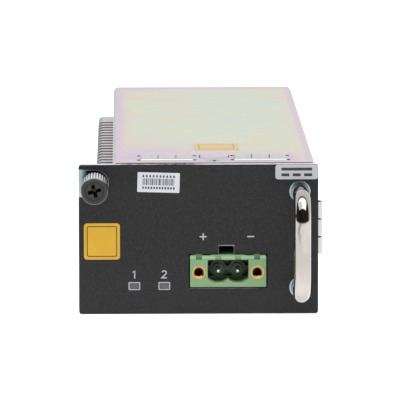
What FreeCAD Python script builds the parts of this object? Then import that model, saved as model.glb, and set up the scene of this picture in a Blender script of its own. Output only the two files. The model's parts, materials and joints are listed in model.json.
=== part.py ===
import FreeCAD
import Part
import math
import os

# Plug-in DC power supply module, in millimetres: +X right, +Y into the shelf, +Z up.
# The origin is on the underside, midway between the panel's face and the rear flange.

V = FreeCAD.Vector
X_AXIS = V(1, 0, 0)
Y_AXIS = V(0, 1, 0)
Z_AXIS = V(0, 0, 1)

# Fits
seat_gap = 0.05        # round parts pressed or screwed into a hole of their own body
sheet_gap = 0.1        # between one folded sheet and another
part_gap = 0.3         # between a part and the wall or board beside it
running_gap = 0.08     # radial, shaft in its bore

# Front panel
panel_width = 62.5
panel_height = 39.3
panel_thickness = 2.5
panel_corner = 0.8

# Body
total_depth = 188.0    # panel face to rear flange
cover_gauge = 1.0
tray_gauge = 1.0
bend_radius = 0.4      # inside of every fold
left_overhang = 4.3    # panel edge to tray wall
right_overhang = 0.5   # panel edge to cover
shoulder_width = 4.6
shoulder_drop = 8.9    # cover top down to the vented shoulder
fold_width = 6.0       # inward folds that carry the cover
rear_flange = 9.5      # cover's fold over the rear wall
floor_gap = 0.6        # cover's right side above the ground
cover_setback = 1.2    # cover's front edge behind the panel

# Vent slots over the shoulder
slot_width = 2.8
slot_pitch = 6.36
slot_side_length = 9.1
slot_rear_margin = 16.6
slot_front_margin = 9.5
slot_web = 0.6         # sheet left beside the upstand
rear_vent_count = 6

# Handle
handle_rod = 4.35
handle_reach = 20.0
handle_bend = 6.2      # centre line
handle_edge = 4.8      # panel edge to foot
handle_foot_low = 6.95
handle_foot_drop = 7.1
handle_thread = 7.0

# Captive screw
captive_edge = 4.25
captive_drop = 5.05    # below the panel's top
thread_radius = 1.5
ferrule_radius = 2.6
ferrule_length = 5.0   # in front of the panel
ferrule_collar = 3.2
collar_thickness = 0.6
knob_radius = 3.55
knob_length = 10.8
knob_gap = 3.9         # skirt to panel with the screw out
knob_web = 4.5         # solid front end of the knob
knurl_depth = 0.28
knurl_count = 30
rim_length = 0.9
rim_step = 0.05        # rim smaller than the knurl
rim_chamfer = 0.25
skirt_gap = 0.15       # radial, knob's skirt round the ferrule
head_radius = 2.45
head_length = 3.4
head_setback = 0.12
tip_chamfer = 0.4
recess_span = 3.7
recess_floor = 0.5     # radius
recess_width = 0.95
recess_depth = 2.2
recess_turn = -15.0
clip_thickness = 0.6
clip_radius = 2.5
clip_opening = 1.8
groove_depth = 0.3
thread_length = 4.2    # behind the clip
spring_wire = 0.17
spring_turns = 4

# DC header
pole_pitch = 5.08
header_x = 0.1232 * panel_width
header_margin = 2.3   # insert axis to side
header_height = 8.3
header_depth = 12.0
header_proud = 0.5
header_gap = 0.35      # cut-out round the header
header_rounding = 0.3
body_margin = 1.2      # pole's half pitch and this make the body's half width
ear_depth = 8.0
socket_width = 10.7
socket_floor_wall = 1.81
socket_top_wall = 1.16
socket_depth = 8.6
socket_pocket = 2.2    # deeper beside the pins' collars
collar_radius = 2.2
collar_bar = 1.1
arch_rise = 1.0
boss_radius = 1.3
boss_length = 1.2
pin_size = 1.0
pin_recess = 3.0
insert_z = 3.81        # above the header's underside
insert_radius = 1.85
insert_bore = 1.025
insert_length = 7.0
insert_setback = 0.15
insert_lead_in = 0.35
key_width = 1.5
key_height = 1.24
ear_key_depth = 2.5
socket_key_depth = 0.7
rim_height = 0.15      # raised rim over the poles
relief_width = 4.0     # extra notch in the panel above the header
relief_height = 2.5
relief_shift = -0.47
relief_corner = 0.4

# Status windows
window_x = -0.206 * panel_width
window_pitch = 0.125 * panel_width
window_width = 2.3
window_height = 1.28
window_z = 0.27        # above the board's face
pipe_rise = 1.5        # pipe's top above the windows' middle
led_setback = 2.2      # behind the board's front edge
led_width = 3.2
led_depth = 1.6
led_height = 1.3
led_rounding = 0.2

# Grounding fingers
top_finger_pitch = 0.0744 * panel_width
side_finger_pitch = 0.1205 * panel_height
finger_count = 3
finger_gap = 0.45
finger_sheet = 0.15
finger_setback = 9.0   # panel face to the strip's front edge
finger_front_rail = 2.9
finger_bulge = 6.1
finger_rear_rail = 2.0
top_finger_height = 1.1
side_finger_height = 2.1
left_strip_x = -0.13 * panel_width
right_strip_x = 0.263 * panel_width
side_strip_z = 0.528 * panel_height
strip_hole_width = 0.9
strip_hole_length = 2.2
strip_hole_corner = 0.4
strip_hole_gap = 0.4
strip_hole_places = (1.0, 9.8)

# Tongue pressed up in the cover between the top strips
tongue_x = 0.07 * panel_width
tongue_width = 0.118 * panel_width
tongue_length = 4.7
tongue_setback = 15.0
tongue_lift = 0.5
tongue_slit = 0.3

# Screws
screw_head_radius = 2.75
screw_head_height = 1.0
screw_length = 5.0
screw_recess = (2.6, 0.6, 0.6)
cover_screw_setback = 8.4
rear_screw_inset = 8.0
side_screw_z = 0.32 * panel_height
washer_radius = 2.9
washer_thickness = 0.6
nut_radius = 3.1
nut_height = 2.4
stud_length = 5.5
stud_seat = 1.2
handle_screw_head = 2.0

# Main board
board_top = 7.14
board_thickness = 1.6
board_gap = 0.8
film_thickness = 0.3
standoff_radius = 2.6
board_screw_radius = 2.3
board_screw_height = 1.6
board_screw_length = 4.5
fixing_inset = 3.9
fixing_front = 12.0
fixing_rear = 11.0

# Output connector
connector_width = 40.0
connector_height = 12.0
connector_depth = 15.0
connector_proud = 4.0
connector_rounding = 0.6
socket_rounding = 0.5
connector_wall = 1.3
connector_socket = 9.0
blade_count = 4
blade_pitch = 9.2
blade_width = 1.0
blade_height = 6.3
blade_recess = 2.0
tail_length = 3.0
tail_reach = 1.5        # below the board

# Worked out from the sizes above
face_y = -total_depth / 2
panel_back = face_y + panel_thickness
rear_y = total_depth / 2
panel_left = -panel_width / 2
panel_right = panel_width / 2
body_left = panel_left + left_overhang
cover_left = body_left + shoulder_width
cover_right = panel_right - right_overhang
shoulder_top = panel_height - shoulder_drop
tray_right = cover_right - cover_gauge - sheet_gap
tray_rear = rear_y - cover_gauge - sheet_gap
fold_top = panel_height - cover_gauge - sheet_gap
upstand_left = cover_left + cover_gauge + sheet_gap
inner_left = body_left + tray_gauge
inner_right = tray_right - tray_gauge
wall_back = panel_back + tray_gauge
handle_x = panel_right - handle_edge
handle_feet = [handle_foot_low, panel_height - handle_foot_drop]
captive_x = panel_left + captive_edge
captive_z = panel_height - captive_drop
stud_places = [(body_left + 4.7, 0.36 * panel_height), (-0.096 * panel_width, shoulder_top + 2.2)]
slot_count = 1 + int((total_depth - slot_rear_margin - slot_front_margin) / slot_pitch)
cover_front = panel_back + cover_setback
board_bottom = board_top - board_thickness
board_left = inner_left + board_gap
board_right = inner_right - board_gap
board_front = wall_back + board_gap
board_rear = tray_rear - tray_gauge - board_gap
board_width = board_right - board_left
board_length = board_rear - board_front
headroom = fold_top - tray_gauge - board_top            # over the board, under the folds
shoulder_room = shoulder_top - tray_gauge - board_top   # over the board, under the shoulder
header_bottom = board_top
header_top = header_bottom + header_height
header_front = face_y - header_proud
header_back = header_front + header_depth
insert_span = 3 * pole_pitch
header_left = header_x - insert_span / 2 - header_margin
header_right = header_x + insert_span / 2 + header_margin
pin_z = header_bottom + insert_z
pole_xs = [header_x - pole_pitch / 2, header_x + pole_pitch / 2]
insert_xs = [header_x - insert_span / 2, header_x + insert_span / 2]
window_xs = [window_x - window_pitch / 2, window_x + window_pitch / 2]
window_mid_z = board_top + window_z
connector_x = (board_left + board_right) / 2
connector_bottom = board_top
connector_top = connector_bottom + connector_height
connector_left = connector_x - connector_width / 2
connector_right = connector_x + connector_width / 2
connector_rear = rear_y + connector_proud
blade_xs = [connector_x + blade_pitch * (i - (blade_count - 1) / 2) for i in range(blade_count)]
blade_z = connector_bottom + connector_height / 2


# Shared shapes

def box(x0, x1, y0, y1, z0, z1):
    return Part.makeBox(x1 - x0, y1 - y0, z1 - z0, V(x0, y0, z0))


def rod(x, y0, y1, z, radius):
    """Cylinder along +Y."""
    return Part.makeCylinder(radius, y1 - y0, V(x, y0, z), Y_AXIS)


def post(x, y, z0, z1, radius):
    """Cylinder along +Z."""
    return Part.makeCylinder(radius, z1 - z0, V(x, y, z0), Z_AXIS)


def fuse(first, *others):
    return first.fuse(list(others)).removeSplitter()


def edges_along(shape, axis):
    """The straight edges that run along axis."""
    found = []
    for edge in shape.Edges:
        if len(edge.Vertexes) == 2:
            way = edge.Vertexes[1].Point - edge.Vertexes[0].Point
            if way.Length > 0 and abs(way.dot(axis)) > 0.999 * way.Length:
                found.append(edge)
    return found


def rounded(shape, radius, *axes):
    """shape with every edge along the axes rounded."""
    for axis in axes:
        shape = shape.makeFillet(radius, edges_along(shape, axis))
    return shape


def folded_strip(outline, gauge, start, end, across):
    """A sheet folded along outline, an open line of (u, z) points, its thickness on the right of the way.

    The strip runs from start to end along across, X_AXIS or Y_AXIS, and u is the other level axis."""
    steps = [(b[0] - a[0], b[1] - a[1]) for a, b in zip(outline, outline[1:])]
    ways = [(u / math.hypot(u, z), z / math.hypot(u, z)) for u, z in steps]
    normals = [(z, -u) for u, z in ways]
    inner = []
    for i, (u, z) in enumerate(outline):
        before = normals[max(i - 1, 0)]
        after = normals[min(i, len(normals) - 1)]
        share = gauge / (1 + before[0] * after[0] + before[1] * after[1])
        inner.append((u + share * (before[0] + after[0]), z + share * (before[1] + after[1])))

    def at(u, z):
        return V(start, u, z) if across == X_AXIS else V(u, start, z)

    ring = [at(*p) for p in outline] + [at(*p) for p in reversed(inner)]
    sheet = Part.Face(Part.makePolygon(ring + ring[:1])).extrude(across * (end - start))
    tight, wide = [], []
    for i in range(1, len(outline) - 1):
        turn = ways[i - 1][0] * ways[i][1] - ways[i - 1][1] * ways[i][0]
        tight.append(inner[i] if turn < 0 else outline[i])
        wide.append(outline[i] if turn < 0 else inner[i])
    for corners, radius in ((tight, bend_radius), (wide, bend_radius + gauge)):
        folds = [e for e in edges_along(sheet, across)
                 if any((e.Vertexes[0].Point - at(*c)).cross(across).Length < 1e-6 for c in corners)]
        sheet = sheet.makeFillet(radius, folds)
    return sheet


def slot_cutter(x0, x1, y, z0, z1, width):
    """Cuts a slot across Y from the sheets between the two corners, its lower end round."""
    radius = width / 2
    upright = box(x0 - 1, x1, y - radius, y + radius, z0 + radius, z1 + 1)
    lower_end = Part.makeCylinder(radius, x1 - x0 - radius, V(x0 - 1, y, z0 + radius), X_AXIS)
    return upright.fuse(lower_end)


# Enclosure

def header_opening(margin, y0, y1):
    """Cuts the header's outline, wider by margin."""
    opening = box(header_left - margin, header_right + margin, y0, y1,
                  header_bottom - margin, header_top + margin)
    relief_x = header_x + relief_shift
    relief = box(relief_x - relief_width / 2, relief_x + relief_width / 2, y0, y1,
                 header_top - 1, header_top + relief_height)
    return opening.fuse(rounded(relief, relief_corner, Y_AXIS))


def window_opening(margin, y0, y1):
    cutters = [box(x - window_width / 2 - margin, x + window_width / 2 + margin, y0, y1,
                   window_mid_z - window_height / 2 - margin, window_mid_z + window_height / 2 + margin)
               for x in window_xs]
    return cutters[0].fuse(cutters[1])


def make_front_panel():
    plate = box(panel_left, panel_right, face_y, panel_back, 0, panel_height)
    plate = rounded(plate, panel_corner, Y_AXIS)
    front, back = face_y - 1, panel_back + 1
    cutters = [header_opening(header_gap, front, back), window_opening(seat_gap, front, back),
               rod(captive_x, front, back, captive_z, ferrule_radius + seat_gap)]
    for z in handle_feet:
        cutters.append(rod(handle_x, front, back, z, thread_radius + sheet_gap))
    for x, z in stud_places:
        cutters.append(rod(x, panel_back - stud_seat, back, z, thread_radius + seat_gap))
    return plate.cut(cutters)


def cover_screw_places():
    """Head centre and inward direction of each countersunk cover screw."""
    top = (V(tongue_x, face_y + cover_screw_setback, panel_height), V(0, 0, -1))
    rear = [(V(x, rear_y, panel_height - rear_flange / 2), V(0, -1, 0))
            for x in (cover_left + rear_screw_inset, cover_right - rear_screw_inset)]
    side = [(V(cover_right, y, side_screw_z), V(-1, 0, 0)) for y in (-total_depth / 3, total_depth / 3)]
    return [top] + rear + side


def countersunk(place, way, gap=0.0):
    """Countersunk screw, or its hole when gap is given."""
    head = Part.makeCone(screw_head_radius + gap, thread_radius + gap, screw_head_height, place, way)
    shank = Part.makeCylinder(thread_radius - seat_gap + gap, screw_length, place, way)
    return head.fuse(shank)


def tray_vents():
    first = rear_y - slot_rear_margin
    cutter = slot_cutter(body_left, upstand_left - slot_web, first,
                         shoulder_top - slot_side_length, shoulder_top, slot_width)
    return [cutter.translated(V(0, -slot_pitch * i, 0)) for i in range(slot_count)]


def rear_vents():
    """Upright slots in the rear wall between the output connector and the cover's flange."""
    bay = panel_height - rear_flange - connector_top
    middle = connector_top + bay / 2
    width, length = 0.25 * bay, 0.45 * bay
    pitch = connector_width / rear_vent_count
    slot = box(-width / 2, width / 2, tray_rear - 3, rear_y, middle - length / 2, middle + length / 2)
    slot = rounded(slot, 0.49 * width, Y_AXIS)
    return [slot.translated(V(connector_x + pitch * (i - (rear_vent_count - 1) / 2), 0, 0))
            for i in range(rear_vent_count)]


def pipe_opening(y0, y1):
    """Cuts the way of the light pipe through the tray's front wall."""
    half = window_width / 2 + part_gap
    return box(window_xs[0] - half, window_xs[1] + half, y0, y1,
               window_mid_z - window_height / 2 - part_gap, pipe_top + part_gap)


def make_base_tray():
    corner = bend_radius + sheet_gap
    ends_left, ends_right = inner_left + corner, inner_right - corner
    fold = bend_radius + tray_gauge
    sides = folded_strip([(tray_right - fold_width, fold_top), (tray_right, fold_top), (tray_right, 0),
                          (body_left, 0), (body_left, shoulder_top), (upstand_left, shoulder_top),
                          (upstand_left, fold_top), (upstand_left + fold_width, fold_top)],
                         tray_gauge, panel_back, tray_rear - bend_radius, Y_AXIS)
    for y0, y1 in ((panel_back - 1, panel_back + fold), (tray_rear - fold, tray_rear + 1)):
        sides = sides.cut(box(ends_left, ends_right, y0, y1, -1, fold))
    ends = folded_strip([(tray_rear - fold_width, fold_top), (tray_rear, fold_top), (tray_rear, 0),
                         (panel_back, 0), (panel_back, fold_top), (panel_back + 2 * fold_width, fold_top)],
                        tray_gauge, ends_left, ends_right, X_AXIS)
    under_fold = fold_top - fold - sheet_gap
    front, back = panel_back - 1, wall_back + 1
    notches = [box(body_left, upstand_left + fold_width + 1, front, rear_y, under_fold, panel_height),
               box(body_left, upstand_left + tray_gauge + corner, front, rear_y,
                   shoulder_top - fold - sheet_gap, panel_height),
               box(tray_right - fold_width - 1, panel_right, front, rear_y, under_fold, panel_height)]
    tray = fuse(sides, ends.cut(notches))
    cutters = [header_opening(2 * header_gap, front, back), pipe_opening(front, back),
               box(connector_left - part_gap, connector_right + part_gap, tray_rear - 3, rear_y,
                   connector_bottom - part_gap, connector_top + part_gap)]
    clear = washer_radius + part_gap
    for z in handle_feet:
        cutters.append(rod(handle_x, front, back, z, thread_radius + sheet_gap))
        cutters.append(box(inner_right - bend_radius, tray_right + 1, panel_back - 1,
                           wall_back + washer_thickness + handle_screw_head + 3 * part_gap,
                           z - clear, z + clear))
    for x, z in stud_places:
        cutters.append(rod(x, front, back, z, thread_radius + sheet_gap))
    for x, y in board_fixings():
        cutters.append(post(x, y, -1, tray_gauge + 1, thread_radius + seat_gap))
    for place, way in cover_screw_places():
        cutters.append(countersunk(place, way, seat_gap))
    return tray.cut(cutters + tray_vents() + rear_vents())


def strip_end_slot(x, y):
    """Cuts a small slot through the cover at a strip's end."""
    half_width, half_length = strip_hole_width / 2, strip_hole_length / 2
    return rounded(box(x - half_width, x + half_width, y - half_length, y + half_length,
                       panel_height - 2, panel_height + 1), strip_hole_corner, Z_AXIS)


def make_top_cover():
    bottom = floor_gap
    outer = box(cover_left, cover_right, cover_front, rear_y, bottom, panel_height)
    rims = [e for e in edges_along(outer, Y_AXIS) + edges_along(outer, X_AXIS)
            if e.CenterOfMass.z > panel_height - 0.01 and e.CenterOfMass.y > cover_front + 0.01]
    rims += [e for e in edges_along(outer, Z_AXIS) if e.CenterOfMass.y > rear_y - 0.01]
    outer = outer.makeFillet(bend_radius + cover_gauge, rims)
    inner = box(cover_left + cover_gauge, cover_right - cover_gauge, panel_back - 5, rear_y - cover_gauge,
                bottom - 5, panel_height - cover_gauge)
    rims = [e for e in edges_along(inner, Y_AXIS) + edges_along(inner, X_AXIS)
            if e.CenterOfMass.z > panel_height - cover_gauge - 0.01 and e.CenterOfMass.y > panel_back]
    rims += [e for e in edges_along(inner, Z_AXIS) if e.CenterOfMass.y > rear_y - cover_gauge - 0.01]
    shell = outer.cut(inner.makeFillet(bend_radius, rims))
    side_start = cover_right - cover_gauge - bend_radius
    cutters = [box(cover_left - 1, side_start, panel_back - 1, rear_y + 1, bottom - 1,
                   panel_height - rear_flange),
               box(cover_left - 1, cover_left + cover_gauge + 2, panel_back - 1, rear_y + 1,
                   bottom - 1, shoulder_top + part_gap),
               box(side_start - sheet_gap, cover_right + 1, rear_y - cover_gauge - bend_radius, rear_y + 1,
                   bottom - 1, panel_height - rear_flange)]
    for place, way in cover_screw_places():
        cutters.append(countersunk(place, way, seat_gap))
    for strip_x in (left_strip_x, right_strip_x):
        for side in (-1, 1):
            for place in strip_hole_places:
                x = strip_x + side * (finger_count * top_finger_pitch / 2 + strip_hole_gap)
                y = face_y + finger_setback + place
                cutters.append(strip_end_slot(x, y))
    left, right = tongue_x - tongue_width / 2, tongue_x + tongue_width / 2
    front = face_y + tongue_setback
    root = front + tongue_length
    slit = box(left - tongue_slit, right + tongue_slit, front - tongue_slit, root,
               panel_height - 2, panel_height + 1)
    raised = panel_height + tongue_lift
    corners = [(root + sheet_gap, panel_height), (front, raised), (front, raised - cover_gauge),
               (root + sheet_gap, panel_height - cover_gauge), (root + sheet_gap, panel_height)]
    tongue = Part.Face(Part.makePolygon([V(left, y, z) for y, z in corners])).extrude(V(right - left, 0, 0))
    return fuse(shell.cut(cutters + [slit]), tongue)


def make_cover_screws():
    """Each with a cross recess, flush with the cover."""
    screws = []
    for place, way in cover_screw_places():
        screw = countersunk(place, way)
        for spin in (0, 90):
            length, width, depth = screw_recess
            arm = Part.makeBox(length, width, depth + 1, V(-length / 2, -width / 2, -1))
            arm.rotate(V(0, 0, 0), Z_AXIS, spin)
            arm.Placement = FreeCAD.Placement(place, FreeCAD.Rotation(Z_AXIS, way)).multiply(arm.Placement)
            screw = screw.cut(arm)
        screws.append(screw)
    return Part.makeCompound(screws)


def make_panel_studs():
    """Studs clinched into the back of the panel."""
    front, back = panel_back - stud_seat + seat_gap, panel_back + stud_length
    return Part.makeCompound([rod(x, front, back, z, thread_radius) for x, z in stud_places])


def hexagon(x, y0, y1, z, radius):
    ring = [V(x + radius * math.cos(math.radians(60 * i)), y0, z + radius * math.sin(math.radians(60 * i)))
            for i in range(7)]
    return Part.Face(Part.makePolygon(ring)).extrude(V(0, y1 - y0, 0))


def make_panel_nuts():
    nuts = []
    for x, z in stud_places:
        nut = hexagon(x, wall_back, wall_back + nut_height, z, nut_radius)
        nuts.append(nut.cut(rod(x, wall_back - 1, wall_back + nut_height + 1, z, thread_radius + seat_gap)))
    return Part.makeCompound(nuts)


# Grounding fingers

def finger_strip(pitch, height):
    """Strip along X at the origin, its front edge at y = 0 and its underside at z = 0."""
    rail, bulge, rear = finger_front_rail, finger_bulge, finger_rear_rail
    foot = rail + 0.25 * bulge
    crest = rail + 0.5 * bulge
    heel = rail + bulge
    end = heel + rear
    length = finger_count * pitch - finger_gap

    def skin(rise):
        arch = Part.BSplineCurve()
        arch.interpolate([V(0, rail, rise), V(0, foot, rise + 0.68 * height), V(0, crest, rise + height),
                          V(0, rail + 0.78 * bulge, rise + 0.6 * height), V(0, heel, rise)])
        return arch.toShape()

    low, high = skin(0), skin(finger_sheet)
    sides = [Part.makeLine(V(0, rail, 0), V(0, 0, 0)), Part.makeLine(V(0, 0, 0), V(0, 0, finger_sheet)),
             Part.makeLine(V(0, 0, finger_sheet), V(0, rail, finger_sheet)),
             Part.makeLine(V(0, heel, finger_sheet), V(0, end, finger_sheet)),
             Part.makeLine(V(0, end, finger_sheet), V(0, end, 0)), Part.makeLine(V(0, end, 0), V(0, heel, 0))]
    profile = Part.Face(Part.Wire(Part.__sortEdges__(sides + [low, high])))
    strip = profile.extrude(V(length, 0, 0))
    gaps = [box(pitch * (i + 1) - finger_gap, pitch * (i + 1), rail - finger_gap, heel + finger_gap,
                -1, height + 2) for i in range(finger_count - 1)]
    strip = strip.cut(gaps)
    strip.translate(V(-length / 2, 0, 0))
    return strip


def make_emi_strip_top_left():
    strip = finger_strip(top_finger_pitch, top_finger_height)
    return strip.translated(V(left_strip_x, face_y + finger_setback, panel_height))


def make_emi_strip_top_right():
    strip = finger_strip(top_finger_pitch, top_finger_height)
    return strip.translated(V(right_strip_x, face_y + finger_setback, panel_height))


def make_emi_strip_side():
    strip = finger_strip(side_finger_pitch, side_finger_height)
    strip.rotate(V(0, 0, 0), Y_AXIS, 90)
    return strip.translated(V(cover_right, face_y + finger_setback, side_strip_z))


# Handle

def make_handle():
    bar_y = face_y - handle_reach + handle_rod / 2
    low, high = handle_feet
    bend = handle_bend
    corner = bend * (1 - math.sqrt(0.5))
    points = [V(handle_x, face_y, low), V(handle_x, bar_y + bend, low),
              V(handle_x, bar_y + corner, low + corner), V(handle_x, bar_y, low + bend),
              V(handle_x, bar_y, high - bend), V(handle_x, bar_y + corner, high - corner),
              V(handle_x, bar_y + bend, high), V(handle_x, face_y, high)]
    path = Part.Wire([Part.makeLine(points[0], points[1]), Part.Arc(*points[1:4]).toShape(),
                      Part.makeLine(points[3], points[4]), Part.Arc(*points[4:7]).toShape(),
                      Part.makeLine(points[6], points[7])])
    profile = Part.Wire(Part.makeCircle(handle_rod / 2, points[0], Y_AXIS))
    bar = path.makePipeShell([profile], True, False)
    threads = [rod(handle_x, face_y - handle_thread, face_y + 1, z, thread_radius) for z in handle_feet]
    return bar.cut(threads)


def make_handle_screws():
    """Pan-head screws from behind the tray's front wall."""
    seat = wall_back + washer_thickness
    screws = []
    for z in handle_feet:
        shank = rod(handle_x, face_y - handle_thread + 1, seat, z, thread_radius - seat_gap)
        screws.append(shank.fuse(rod(handle_x, seat, seat + handle_screw_head, z, screw_head_radius)))
    return Part.makeCompound(screws)


def make_handle_washers():
    washers = []
    for z in handle_feet:
        ring = rod(handle_x, wall_back, wall_back + washer_thickness, z, washer_radius)
        washers.append(ring.cut(rod(handle_x, wall_back - 1, wall_back + 2, z, thread_radius + seat_gap)))
    return Part.makeCompound(washers)


# Captive screw

knob_back = face_y - knob_gap
knob_front = knob_back - knob_length
web_back = knob_front + knob_web
clip_front = panel_back + collar_thickness + sheet_gap
clip_back = clip_front + clip_thickness
ferrule_front = face_y - ferrule_length


def make_captive_ferrule():
    body = rod(captive_x, ferrule_front, panel_back, captive_z, ferrule_radius)
    collar = rod(captive_x, panel_back, panel_back + collar_thickness, captive_z, ferrule_collar)
    bore = rod(captive_x, ferrule_front - 1, panel_back + 2, captive_z, thread_radius + running_gap)
    return fuse(body, collar).cut(bore)


def make_captive_knob():
    ring = []
    for i in range(knurl_count):
        for share, radius in ((0.0, knob_radius - knurl_depth), (0.3, knob_radius), (0.7, knob_radius)):
            turn = 2 * math.pi * (i + share) / knurl_count
            ring.append(V(captive_x + radius * math.cos(turn), knob_front + rim_length,
                          captive_z + radius * math.sin(turn)))
    grip = Part.Face(Part.makePolygon(ring + ring[:1])).extrude(V(0, knob_length - rim_length, 0))
    rim = rod(captive_x, knob_front, knob_front + rim_length, captive_z, knob_radius - rim_step)
    rim = rim.makeChamfer(rim_chamfer, [e for e in rim.Edges if e.BoundBox.YMax < knob_front + 0.01])
    skirt = rod(captive_x, web_back, knob_back + 1, captive_z, ferrule_radius + skirt_gap)
    head_seat = rod(captive_x, knob_front - 1, knob_front + head_length, captive_z, head_radius + seat_gap)
    shank_hole = rod(captive_x, knob_front - 1, knob_back, captive_z, thread_radius + seat_gap)
    return fuse(grip, rim).cut([skirt, head_seat, shank_hole])


def make_captive_screw():
    front = knob_front + head_setback
    head = rod(captive_x, front, knob_front + head_length, captive_z, head_radius)
    tip = clip_back + thread_length
    shank = rod(captive_x, knob_front + head_length, tip, captive_z, thread_radius)
    shank = shank.makeChamfer(tip_chamfer, [e for e in shank.Edges if e.BoundBox.YMin > tip - 0.01])
    cone = Part.makeCone(recess_span / 2, recess_floor, recess_depth, V(captive_x, front, captive_z), Y_AXIS)
    arms = []
    for spin in (0, 90):
        arm = box(-recess_span, recess_span, 0, 2 * recess_depth, -recess_width / 2, recess_width / 2)
        arm.rotate(V(0, 0, 0), Y_AXIS, spin + recess_turn)
        arms.append(arm.translated(V(captive_x, knob_front - 1, captive_z)))
    recess = cone.common(arms[0].fuse(arms[1]))
    core = rod(captive_x, clip_front - 1, clip_back + 1, captive_z, thread_radius - groove_depth)
    groove = rod(captive_x, clip_front - seat_gap, clip_back + seat_gap, captive_z, thread_radius + 1)
    return fuse(head, shank).cut([recess, groove.cut(core)])


def make_captive_clip():
    """Retaining ring, open at the top, in the screw's groove."""
    ring = rod(captive_x, clip_front, clip_back, captive_z, clip_radius)
    bore = rod(captive_x, clip_front - 1, clip_back + 1, captive_z, thread_radius - groove_depth + seat_gap)
    mouth = box(captive_x - clip_opening / 2, captive_x + clip_opening / 2, clip_front - 1, clip_back + 1,
                captive_z, captive_z + clip_radius + 1)
    return ring.cut([bore, mouth])


def make_captive_spring():
    start = web_back + spring_wire + seat_gap
    height = ferrule_front - spring_wire - seat_gap - start
    radius = (thread_radius + ferrule_radius + skirt_gap) / 2
    helix = Part.makeHelix(height / spring_turns, height, radius)
    profile = Part.Wire(Part.makeCircle(spring_wire, V(radius, 0, 0), Y_AXIS))
    coil = Part.Wire(helix).makePipeShell([profile], True, True)
    coil.rotate(V(0, 0, 0), X_AXIS, -90)
    return coil.translated(V(captive_x, start, captive_z))


# DC header

def make_dc_header():
    ear_back = header_front + ear_depth
    body_half = pole_pitch + body_margin
    ears = box(header_left, header_right, header_front, ear_back, header_bottom, header_top)
    body = box(header_x - body_half, header_x + body_half, header_front, header_back,
               header_bottom, header_top)
    rim = box(header_x - 0.9 * pole_pitch, header_x + 0.9 * pole_pitch, header_front, ear_back,
              header_top, header_top + rim_height)
    block = fuse(rounded(ears, header_rounding, Y_AXIS), body, rim)
    socket_back = header_front + socket_depth
    socket = box(header_x - socket_width / 2, header_x + socket_width / 2, header_front - 1, socket_back,
                 header_bottom + socket_floor_wall, header_top - socket_top_wall)
    half = pole_pitch / 2
    arch_radius = (half ** 2 + arch_rise ** 2) / (2 * arch_rise)
    pocket = box(header_x - socket_width / 2, header_x + socket_width / 2, socket_back - 1,
                 socket_back + socket_pocket, header_bottom + socket_floor_wall, header_top - socket_top_wall)
    collars = [rod(x, socket_back - 2, header_back, pin_z, collar_radius) for x in pole_xs]
    collars.append(box(header_left, header_right, socket_back - 2, header_back, pin_z - collar_bar / 2,
                       pin_z + collar_bar / 2))
    cutters = [socket, pocket.cut(collars)]
    for x in pole_xs:
        arch = rod(x, header_front - 1, socket_back,
                   header_bottom + socket_floor_wall - arch_rise + arch_radius, arch_radius)
        window = box(x - half, x + half, header_front - 2, header_back, header_bottom,
                     header_bottom + socket_floor_wall + 0.01)
        cutters.append(arch.common(window))
        cutters.append(box(x - key_width / 2, x + key_width / 2, header_front - 1,
                           header_front + socket_key_depth, header_top - socket_top_wall - 0.01,
                           header_top - sheet_gap))
    for x in insert_xs:
        cutters.append(box(x - key_width / 2, x + key_width / 2, header_front - 1,
                           header_front + ear_key_depth, header_top - key_height, header_top + 1))
        cutters.append(rod(x, header_front - 1, header_front + insert_length + sheet_gap, pin_z,
                           insert_radius + seat_gap))
    block = block.cut(cutters)
    bosses = [rod(x, socket_back - boss_length, socket_back + 0.5, pin_z, boss_radius) for x in pole_xs]
    holes = [box(x - pin_size / 2 - seat_gap, x + pin_size / 2 + seat_gap, header_front, header_back + 1,
                 pin_z - pin_size / 2 - seat_gap, pin_z + pin_size / 2 + seat_gap) for x in pole_xs]
    return fuse(block, *bosses).cut(holes)


def header_pin(x):
    """Right-angle pin with a tapered tip, its tail through the board."""
    half = pin_size / 2
    tip = header_front + pin_recess
    tail = pin_tail_y
    level = box(x - half, x + half, tip, tail + half, pin_z - half, pin_z + half)
    level = level.makeChamfer(pin_size / 4, [e for e in level.Edges if e.BoundBox.YMax < tip + 0.01])
    upright = box(x - half, x + half, tail - half, tail + half, board_bottom - 2 * pin_size, pin_z)
    return fuse(level, upright)


def make_dc_pin_left():
    return header_pin(pole_xs[0])


def make_dc_pin_right():
    return header_pin(pole_xs[1])


def header_insert(x):
    front = header_front + insert_setback
    sleeve = rod(x, front, header_front + insert_length, pin_z, insert_radius)
    bore = rod(x, front - 1, header_front + insert_length + 1, pin_z, insert_bore)
    lead_in = Part.makeCone(insert_bore + insert_lead_in, insert_bore, insert_lead_in,
                            V(x, front, pin_z), Y_AXIS)
    return sleeve.cut([bore, lead_in])


def make_header_insert_left():
    return header_insert(insert_xs[0])


def make_header_insert_right():
    return header_insert(insert_xs[1])


# Status windows

led_front = board_front + led_setback
pipe_top = window_mid_z + pipe_rise


def make_light_pipe():
    """Two windows joined by a bar behind the panel, with feet over the board's edge."""
    half_w, half_h = window_width / 2, window_height / 2
    bar_front, bar_back = panel_back + part_gap, board_front - part_gap
    bar_low = window_mid_z - half_h
    bar = box(window_xs[0] - half_w, window_xs[1] + half_w, bar_front, bar_back, bar_low, pipe_top)
    pieces = []
    for x in window_xs:
        pieces.append(box(x - half_w, x + half_w, face_y + sheet_gap, bar_front + sheet_gap,
                          window_mid_z - half_h, window_mid_z + half_h))
        pieces.append(box(x - half_w, x + half_w, bar_back - sheet_gap, led_front - part_gap,
                          board_top + sheet_gap, pipe_top))
    return fuse(bar, *pieces)


def status_led(x):
    body = box(x - led_width / 2, x + led_width / 2, led_front, led_front + led_depth,
               board_top, board_top + led_height)
    return rounded(body, led_rounding, Z_AXIS)


def make_status_led_left():
    return status_led(window_xs[0])


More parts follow.
